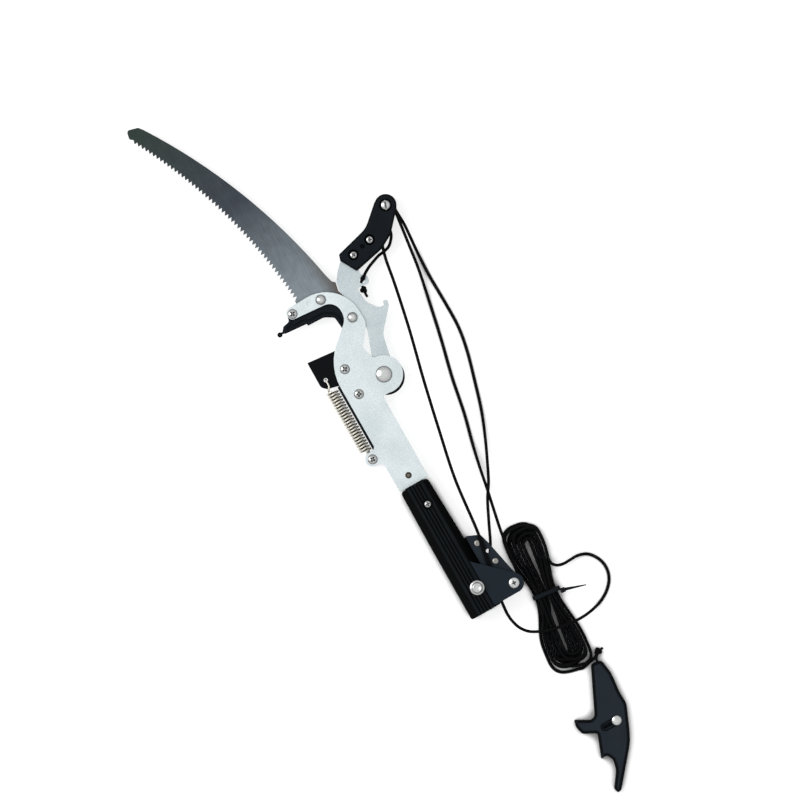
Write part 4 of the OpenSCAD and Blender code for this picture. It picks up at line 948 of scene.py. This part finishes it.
def shaped_top(node, profile, step, sharp, finish, slot):
    """A copy of a solid whose flat top drops by the profile, a list of (distance, drop)."""
    form = clean_form(node)
    top = max(v.co.z for v in form.verts)
    crown = {f for f in form.faces if all(abs(v.co.z - top) < 1e-6 for v in f.verts)}
    loops = loops_of([e for e in form.edges if len(crown.intersection(e.link_faces)) == 1])
    rings = [np.array([v.co.xy / MM for v in loop]) for loop in loops]
    distances, drops = zip(*profile)
    places, chains = [], []
    for loop, ring in zip(loops, rings):
        first = sum(len(p) for p in places)
        chains += [(first + i, first + (i + 1) % len(ring)) for i in range(len(ring))]
        places.append(ring)
        for v, drop in zip(loop, np.interp(reach(ring, rings[0]), distances, drops)):
            v.co.z = top - drop * MM
    places = np.vstack(places + [net_in(rings, distances[1:], step)])
    flat, _, triangles, _, _, _ = delaunay_2d_cdt([Vector(p) for p in places], chains, [], 0, 1e-4)
    flat = np.array([tuple(p) for p in flat])
    middles = np.array([flat[list(t)].mean(axis=0) for t in triangles])
    keep = inside(middles, rings[0])
    for ring in rings[1:]:
        keep &= ~inside(middles, ring)
    bmesh.ops.delete(form, geom=list(crown), context="FACES")
    fall = np.interp(reach(flat, rings[0]), distances, drops)
    made = [form.verts.new((*(p * MM), top - drop * MM)) for p, drop in zip(flat, fall)]
    for triangle, kept in zip(triangles, keep):
        if kept:
            form.faces.new([made[i] for i in triangle])
    bmesh.ops.remove_doubles(form, verts=form.verts, dist=MERGE * MM)
    bmesh.ops.delete(form, geom=[v for v in form.verts if not v.link_faces], context="VERTS")
    bmesh.ops.recalc_face_normals(form, faces=form.faces)
    mesh = smooth_mesh(form, node + "_shaped", sharp)
    dress(mesh, finish)
    stand_for(placed(node + "_shaped", mesh), slot, node)
    print(node, len(mesh.polygons), "faces")


HANDLE_SLOPE = [(0, 2.6), (3.2, 0)]
ARM_ROUND = [(0, 1.8), (0.5, 1), (1.2, 0.4), (2.6, 0)]
LINER_RIDGE = [(0, 1), (1.2, 0), (3.2, 0), (3.8, 0.7), (4.6, 0.7), (5.2, 0)]
shaped_top("pull_handle", HANDLE_SLOPE, 1.1, 25, grey_nylon, "nylon_black")
shaped_top("arm_front", ARM_ROUND, 1.5, 35, nylon, "nylon_black")
shaped_top("hook_liner", LINER_RIDGE, 1.1, 25, nylon, "nylon_black")

# %% [markdown]
# ## The spare rope
#
# The spare rope, its tie and its knot are one thing that lies on the table.

# %% [markdown]
# ## Return spring
#
# The spring is a node tree. A spiral gives the coil, two short routes give its hooks, and a circle
# swept along all of them gives the wire. The number of coils, the radius and the wire are inputs,
# so another spring is another set of numbers. One end stays on the frame and the other moves with
# the cutter. An attribute marks the outer side of the wire, and the wire's finish paints shade on
# the inside of the coil.

# %% Helpers for node trees
def new_tree(name, inputs):
    """A geometry tree with named inputs after its geometry, and its two end nodes."""
    tree = bpy.data.node_groups.new(name, "GeometryNodeTree")
    tree.interface.new_socket("Geometry", in_out="INPUT", socket_type="NodeSocketGeometry")
    for key, kind in inputs.items():
        tree.interface.new_socket(key, in_out="INPUT", socket_type="NodeSocket" + kind)
    tree.interface.new_socket("Geometry", in_out="OUTPUT", socket_type="NodeSocketGeometry")
    return tree, add(tree, "NodeGroupInput"), add(tree, "NodeGroupOutput")


def end_tree(tree, start, end, socket):
    """Makes the result real and gives it the finish."""
    real = add(tree, "GeometryNodeRealizeInstances", {"Geometry": socket})
    settings = {"Geometry": real.outputs[0], "Material": start.outputs["Finish"]}
    tree.links.new(add(tree, "GeometryNodeSetMaterial", settings).outputs[0], end.inputs[0])


def run_tree(obj, tree, values):
    """Runs a tree on an object, with inputs by name, and keeps the mesh that comes out."""
    build = obj.modifiers.new("build", "NODES")
    build.node_group = tree
    for item in tree.interface.items_tree:
        if item.in_out == "INPUT" and item.name in values:
            build[item.identifier] = values[item.name]
    bake(obj)
    return obj


def point_object(name, points, edges=()):
    """An object of bare points in millimetres, and edges between them."""
    mesh = bpy.data.meshes.new(name)
    mesh.from_pydata([tuple(np.asarray(p) * MM) for p in points], list(edges), [])
    return placed(name, mesh)


# %% [markdown]
# The coil stands on its foot's hook and ends in its head's hook, with the wire's ends led
# to the anchor screw and into the blade.

# %% The spring
SPRING_X, SPRING_LOW, SPRING_HIGH = -26, 198.5, 267.5
SPRING_RADIUS, SPRING_TURNS, WIRE_D = 5.6, 22, 2
ANCHOR = (-23.8, 188.5)
ANCHOR_LOOP = 3.9
HOOK_STEP = 0.4
OUTER_BAND = 0.5
FOOT = [
    (-27.5, 191.6, 0.2), (-27, 194, 0.8), (-25, 196, 1.6), (-23, 197.4, 3.2), (-23.8, 198.2, 5),
    (-26, 198.5, 5.6),
]
HEAD = [
    (-26, 267.5, 5.6), (-28.4, 267.9, 5), (-28.8, 269.2, 3.7), (-27.2, 271.2, 2.9), (-25.8, 273.4, 2.6),
    (-25.5, 277, 2.2), (-25.5, 280.2, 1.6), (-25.5, 281.1, 0), (-25.5, 281.1, -1.7),
]


def spring_tree():
    """Coil along Y from a spiral, its hooks from the object's edges, and wire swept along both."""
    sizes = dict.fromkeys(("Turns", "Radius", "Length", "Wire"), "Float")
    tree, start, end = new_tree("wound spring", {**sizes, "Foot": "Vector", "Finish": "Material"})
    size = start.outputs
    coil = add(tree, "GeometryNodeCurveSpiral", {
        "Resolution": 28,
        "Reverse": True,
        "Rotations": size["Turns"],
        "Start Radius": size["Radius"],
        "End Radius": size["Radius"],
        "Height": size["Length"],
    })
    laid = add(tree, "GeometryNodeTransform", {
        "Rotation": (-math.pi / 2, -math.pi / 2, 0),
        "Geometry": coil.outputs[0],
        "Translation": size["Foot"],
    })
    hooks = add(tree, "GeometryNodeMeshToCurve", {0: size["Geometry"]})
    join = add(tree, "GeometryNodeJoinGeometry", {0: laid.outputs[0]})
    tree.links.new(hooks.outputs[0], join.inputs[0])
    half_wire = figured(tree, "DIVIDE", size["Wire"], 2)
    round_wire = add(tree, "GeometryNodeCurvePrimitiveCircle", {"Resolution": 10, "Radius": half_wire})
    swept = add(tree, "GeometryNodeCurveToMesh", {
        "Fill Caps": True,
        "Curve": join.outputs[0],
        "Profile Curve": round_wire.outputs[0],
    })
    end_tree(tree, start, end, swept.outputs[0])
    return tree


loop = []
for angle in range(340, 170, -20):
    a = math.radians(angle)
    loop.append((ANCHOR[0] + ANCHOR_LOOP * math.cos(a), ANCHOR[1] + ANCHOR_LOOP * math.sin(a), 0))
hook_points, hook_edges = [], []
for route in (smooth_route(loop + FOOT, HOOK_STEP), smooth_route(HEAD, HOOK_STEP)):
    first = len(hook_points)
    hook_points += list(route)
    hook_edges += [(first + i, first + i + 1) for i in range(len(route) - 1)]
spring = run_tree(
    point_object("return_spring_wire", hook_points, hook_edges),
    spring_tree(),
    {
        "Turns": float(SPRING_TURNS),
        "Radius": SPRING_RADIUS * MM,
        "Length": (SPRING_HIGH - SPRING_LOW) * MM,
        "Foot": Vector((SPRING_X, SPRING_LOW, 0)) * MM,
        "Wire": WIRE_D * MM,
        "Finish": wire,
    },
)
spring.data.shade_smooth()
# The outer attribute lets the wire's finish paint shade on the inner side of the coil.
rest = np.array([v.co for v in spring.data.vertices]) / MM
from_axis = np.hypot(rest[:, 0] - SPRING_X, rest[:, 2])
wound_part = (rest[:, 1] > SPRING_LOW - WIRE_D) & (rest[:, 1] < SPRING_HIGH + WIRE_D / 2)
outer = np.where(wound_part, np.clip((from_axis - SPRING_RADIUS) / OUTER_BAND + 1, 0, 1), 1)
spring.data.attributes.new("outer", "FLOAT", "POINT").data.foreach_set("value", outer)
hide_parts("return_spring")
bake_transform(spring)
print("spring:", len(spring.data.polygons), "faces")

# %% [markdown]
# ## Fasteners
#
# Screws, bolts, rivets and nuts each come in sets. One turned or hexagonal form is drawn as a
# stack of rings, a cross is cut into it where the photograph shows one, and a node tree puts a
# copy on every point of the set, turned as its point says.

# %% Turned and hexagonal forms
FORM_SIDES = 48
FORM_SHARP = 40
CROSS_WIDTH, CROSS_DEPTH = 0.34, 0.36


def stacked(name, rings, flats=None):
    """A closed form from rings of (radius, z) in millimetres, cut to a hexagon where flats are given."""
    verts = []
    for limit, z in rings:
        for j in range(FORM_SIDES):
            a = 2 * math.pi * j / FORM_SIDES
            r = min(limit, flats / 2 / math.cos(a % (math.pi / 3) - math.pi / 6)) if flats else limit
            verts.append((r * math.cos(a), r * math.sin(a), z))
    obj = mesh_object(name, verts, ring_faces(len(rings), FORM_SIDES), nickel)
    obj.data.set_sharp_from_angle(angle=math.radians(FORM_SHARP))
    return obj


def dome(radius, height):
    """Rings of a low domed head on z = 0, with a softened rim."""
    rim = height * 0.4
    ball = (radius**2 + (height - rim) ** 2) / (2 * (height - rim))
    rings = [(radius - 0.2, 0), (radius, 0.2), (radius, rim - 0.25)]
    for part in np.linspace(0.96, 0.02, 9):
        rings.append((radius * part, height - ball + math.sqrt(ball**2 - (radius * part) ** 2)))
    return rings


def shaft(radius, length):
    """Rings of a shaft that hangs from z = 0, from its chamfered end up."""
    return [(radius - 0.5, -length), (radius, 0.5 - length), (radius, 0)]


def cut_bar(obj, length, width, turn, top, depth):
    """Cuts one tapered bar into the top of a head."""
    box = bmesh.new()
    bmesh.ops.create_cube(box, size=1)
    for corner in box.verts:
        taper = 1 if corner.co.z > 0 else 0.75
        corner.co.x *= length * taper * MM
        corner.co.y *= width * taper * MM
        corner.co.z = (top + (0.5 if corner.co.z > 0 else -depth)) * MM
    bmesh.ops.rotate(box, verts=box.verts, cent=(0, 0, 0), matrix=Matrix.Rotation(math.radians(turn), 3, "Z"))
    mesh = bpy.data.meshes.new("bar")
    box.to_mesh(mesh)
    box.free()
    tool = placed("bar", mesh)
    cut = obj.modifiers.new("bar", "BOOLEAN")
    cut.object = tool
    cut.solver = "EXACT"
    bake(obj)
    bpy.data.objects.remove(tool)
    obj.data.set_sharp_from_angle(angle=math.radians(FORM_SHARP))
    return obj


def cut_cross(obj, size, top):
    """Cuts a cross recess into the top of a head."""
    for turn in (0, 90):
        cut_bar(obj, size, size * CROSS_WIDTH, turn, top, size * CROSS_DEPTH)
    return obj


# %% [markdown]
# One tree serves every set. Each point carries its own turn, so no two crosses line up.

# %% Tree that sets fasteners at points
def fastener_tree():
    """Copies of one form at the object's points, each turned by the point's own angle."""
    tree, start, end = new_tree("fasteners at points", {"Form": "Object", "Finish": "Material"})
    turn = add(tree, "GeometryNodeInputNamedAttribute", {"data_type": "FLOAT", "Name": "turn"})
    spin = add(tree, "ShaderNodeCombineXYZ", {"Z": turn.outputs["Attribute"]})
    form = add(tree, "GeometryNodeObjectInfo", {"Object": start.outputs["Form"]})
    copies = add(tree, "GeometryNodeInstanceOnPoints", {
        "Points": start.outputs["Geometry"],
        "Instance": form.outputs["Geometry"],
        "Rotation": spin.outputs[0],
    })
    end_tree(tree, start, end, copies.outputs[0])
    return tree


fasteners = fastener_tree()


def fasten(name, form, spots, z, finish, turns=None):
    """One set of fasteners at spots of (x, y), on height z, turned by degrees where turns are given."""
    obj = point_object(name, [(*spot, z) for spot in spots])
    turn = obj.data.attributes.new("turn", "FLOAT", "POINT")
    turn.data.foreach_set("value", np.radians(turns or [0] * len(spots)))
    run_tree(obj, fasteners, {"Form": form, "Finish": finish})
    bpy.data.objects.remove(form)
    return obj


def join_sets(sets, *replaced):
    """One mesh from several sets, in place of solids of one body."""
    return stand_for(merged(sets), "fastener_steel", *replaced)


# %% [markdown]
# Screws, bolts and rivets are named by their places, which their nuts use again.

# %% Sets of the frame and of the cutter
FACE, BACK = PLATE_FACE, -PLATE_FACE
ARM_SEAT = 8.1
GUIDE_BACK = -5.2
FRAME_SCREWS = [(-3.5, 280.6), (-3.5, 252), ANCHOR]
TIP_SCREW = [(-21.7, 354.5)]
SAW_BOLTS = [(9.8, 353), (28.7, 322)]
ARM_SCREWS = [(60.5, 375.7), (82, 381)]
GUIDE_RIVETS = [(25.7, 64), (32.7, 39.5)]
RIVET_RINGS = [
    (2.6, -0.8), (3, -0.6), (3, -0.2), (2.8, 0), (1.5, 0), (1.5, 11.8), (2.8, 11.8), (3, 12), (3, 12.3),
    (2.6, 12.6), (1.2, 12.6), (1.0, 12.3),
]
pan = cut_cross(stacked("pan", shaft(2.5, 16) + dome(5, 2.6)), 6, 2.6)
short_pan = cut_cross(stacked("short_pan", shaft(2.5, 14.6) + dome(5, 2.6)), 6, 2.6)
frame_screw_sets = [
    fasten("frame_screw_set", pan, FRAME_SCREWS, FACE, nickel, [12, 62, 35]),
    fasten("tip_screw", short_pan, TIP_SCREW, FACE, nickel, [20]),
]
join_sets(frame_screw_sets, "frame_screws")
bolt = stacked("bolt", shaft(3, 14.6) + dome(5.25, 3.2))
join_sets([fasten("saw_bolt_set", bolt, SAW_BOLTS, FACE, nickel)], "saw_bolts")
small_pan = cut_cross(stacked("small_pan", shaft(2, 16.8) + dome(3.6, 1.8)), 4.6, 1.8)
join_sets([fasten("arm_screw_set", small_pan, ARM_SCREWS, ARM_SEAT, nickel, [25, 70])], "arm_screws")
rivet = stacked("rivet", RIVET_RINGS)
join_sets([fasten("guide_rivet_set", rivet, GUIDE_RIVETS, GUIDE_BACK, dull_nickel)], "guide_rivets")
print("sets of screws, bolts and rivets in place")

# %% [markdown]
# The nuts hang from the back plate: plain hexagons, and domed caps where a hand may touch them.

# %% Nuts
def hex_form(name, flats, height, bore):
    """A chamfered nut that hangs down from z = 0."""
    wide = flats / 2 / math.cos(math.pi / 6)
    rings = [(bore, -0.6), (bore, -height), (flats / 2, -height), (wide, 0.35 - height)]
    return stacked(name, rings + [(wide, -0.35), (flats / 2, 0), (bore, 0)], flats)


def cap_form(name, flats, height):
    """A domed nut that hangs down from z = 0."""
    wide = flats / 2 / math.cos(math.pi / 6)
    top = -0.45 * height
    ball = flats * 0.46
    angles = np.linspace(0.05, math.pi / 2, 9)
    rings = [(ball * math.sin(a), -height + ball * (1 - math.cos(a))) for a in angles]
    rings += [(ball, top), (flats / 2, top), (wide, top + 0.5), (wide, -0.3), (flats / 2, 0)]
    return stacked(name, rings, flats)


nut = hex_form("nut", 8, 4, 2.6)
join_sets([fasten("frame_nut_set", nut, FRAME_SCREWS, BACK, nickel)], "frame_nuts")
arm_nut = hex_form("arm_nut", 7, 3.2, 2.1)
join_sets([fasten("arm_nut_set", arm_nut, ARM_SCREWS, BACK, nickel)], "arm_nuts")
cap_sets = [
    fasten("cap_nut_set", cap_form("cap", 10, 9.8), SAW_BOLTS, BACK, nickel),
    fasten("tip_cap_nut", cap_form("tip_cap", 8, 9.8), TIP_SCREW, BACK, nickel),
]
join_sets(cap_sets, "saw_cap_nuts", "hook_cap_nut")
print("sets of nuts in place")

# %% [markdown]
# What comes once is built from the same rings and moved to its place.

# %% Single bolts, axles and pins
def single(node, forms, at, finish):
    """One fastener from forms stacked at a place, instead of its solid."""
    obj = merged(forms)
    obj.data.transform(Matrix.Translation(Vector(at) * MM))
    obj.name = node + "_turned"
    dress(obj.data, finish)
    stand_for(obj, "fastener_steel", node)


HEX_WIDE = 5 / math.cos(math.pi / 6)
HEX_RINGS = [(HEX_WIDE, 1.1), (HEX_WIDE, 4.9), (5, 5.7), (4.3, 6.2), (3.4, 6.2), (3.1, 6)]
single(
    "clamp_bolt",
    [
        stacked("clamp", shaft(4, 3) + [(6.9, 0), (7.25, 0.3), (7.25, 0.8), (6.6, 1.2)]),
        stacked("clamp_hex", HEX_RINGS, 10),
    ],
    (3.7, 25.5, 16.1),
    nickel,
)
socket_pan = cut_cross(stacked("socket_pan", shaft(2.5, 26) + dome(4, 2.6)), 4.6, 2.6)
single("socket_screw", [socket_pan], (1.9, 122.5, 12.5), nickel)
axle_foot = [(5.2, -21.4), (5.5, -21.1), (5.5, -19.8), (5.3, -19.6), (3, -19.6), (3, 0)]
axle = cut_cross(stacked("axle", axle_foot + dome(5.5, 1.8)), 4.6, 1.8)
single("lower_axle", [axle], (*LOWER_SHEAVE, 14.4), nickel)
arm_axle = cut_bar(stacked("arm_axle", shaft(3, 18.7) + dome(4.8, 2.2)), 14, 2, 70, 2.2, 1.6)
single("upper_axle", [arm_axle], (*UPPER_SHEAVE, 8.5), nickel)
single("pivot_bolt", [stacked("pivot", shaft(4, 16.4) + dome(8.25, 3.4))], (28, 257, FACE), nickel)
rivet_foot = [(1.8, -12.4), (2.8, -12.1), (3.25, -11.7), (3.25, -11.4), (2, -11.4), (2, 0)]
rivet_head = [(3.25, 0), (3.25, 0.5), (2.9, 0.9), (2.5, 1), (2.2, 0.5), (1.9, 0.5), (1.6, 0.9), (0.3, 1)]
single("shank_rivet", [stacked("peened", rivet_foot + rivet_head)], (-0.5, 157, FACE), aged)
pin_foot = [(3.7, -10.3), (4, -10), (4, -9), (3.8, -8.7), (2, -8.7), (2, 0)]
single("handle_pin", [stacked("sliding_pin", pin_foot + dome(5.15, 2))], (59.5, -159.4, -3.3), nickel)
print("single fasteners turned")

# %% [markdown]
# A few small solids are hidden or plain enough to stay as they are. They only get a finish.

# %% Finishes of the small solids that stay
SMALL = {
    nickel: "socket_nut guide_collars hook_spacers pivot_washer pivot_cap_nut lever_rivets upper_axle_nut",
    brass: "clamp_insert pivot_shim pivot_bush",
}
for finish, names in SMALL.items():
    for node in names.split():
        dress(nodes[node].data, finish)
        print(node, "in", finish.name)

# %% [markdown]
# ## Sizes
#
# The dressed tool has to stay in the box of its solids, so both boxes are written down.
# The box of the solids is printed.

# %% Print the box of the solids
print("box of the solids, m:", cad_box)
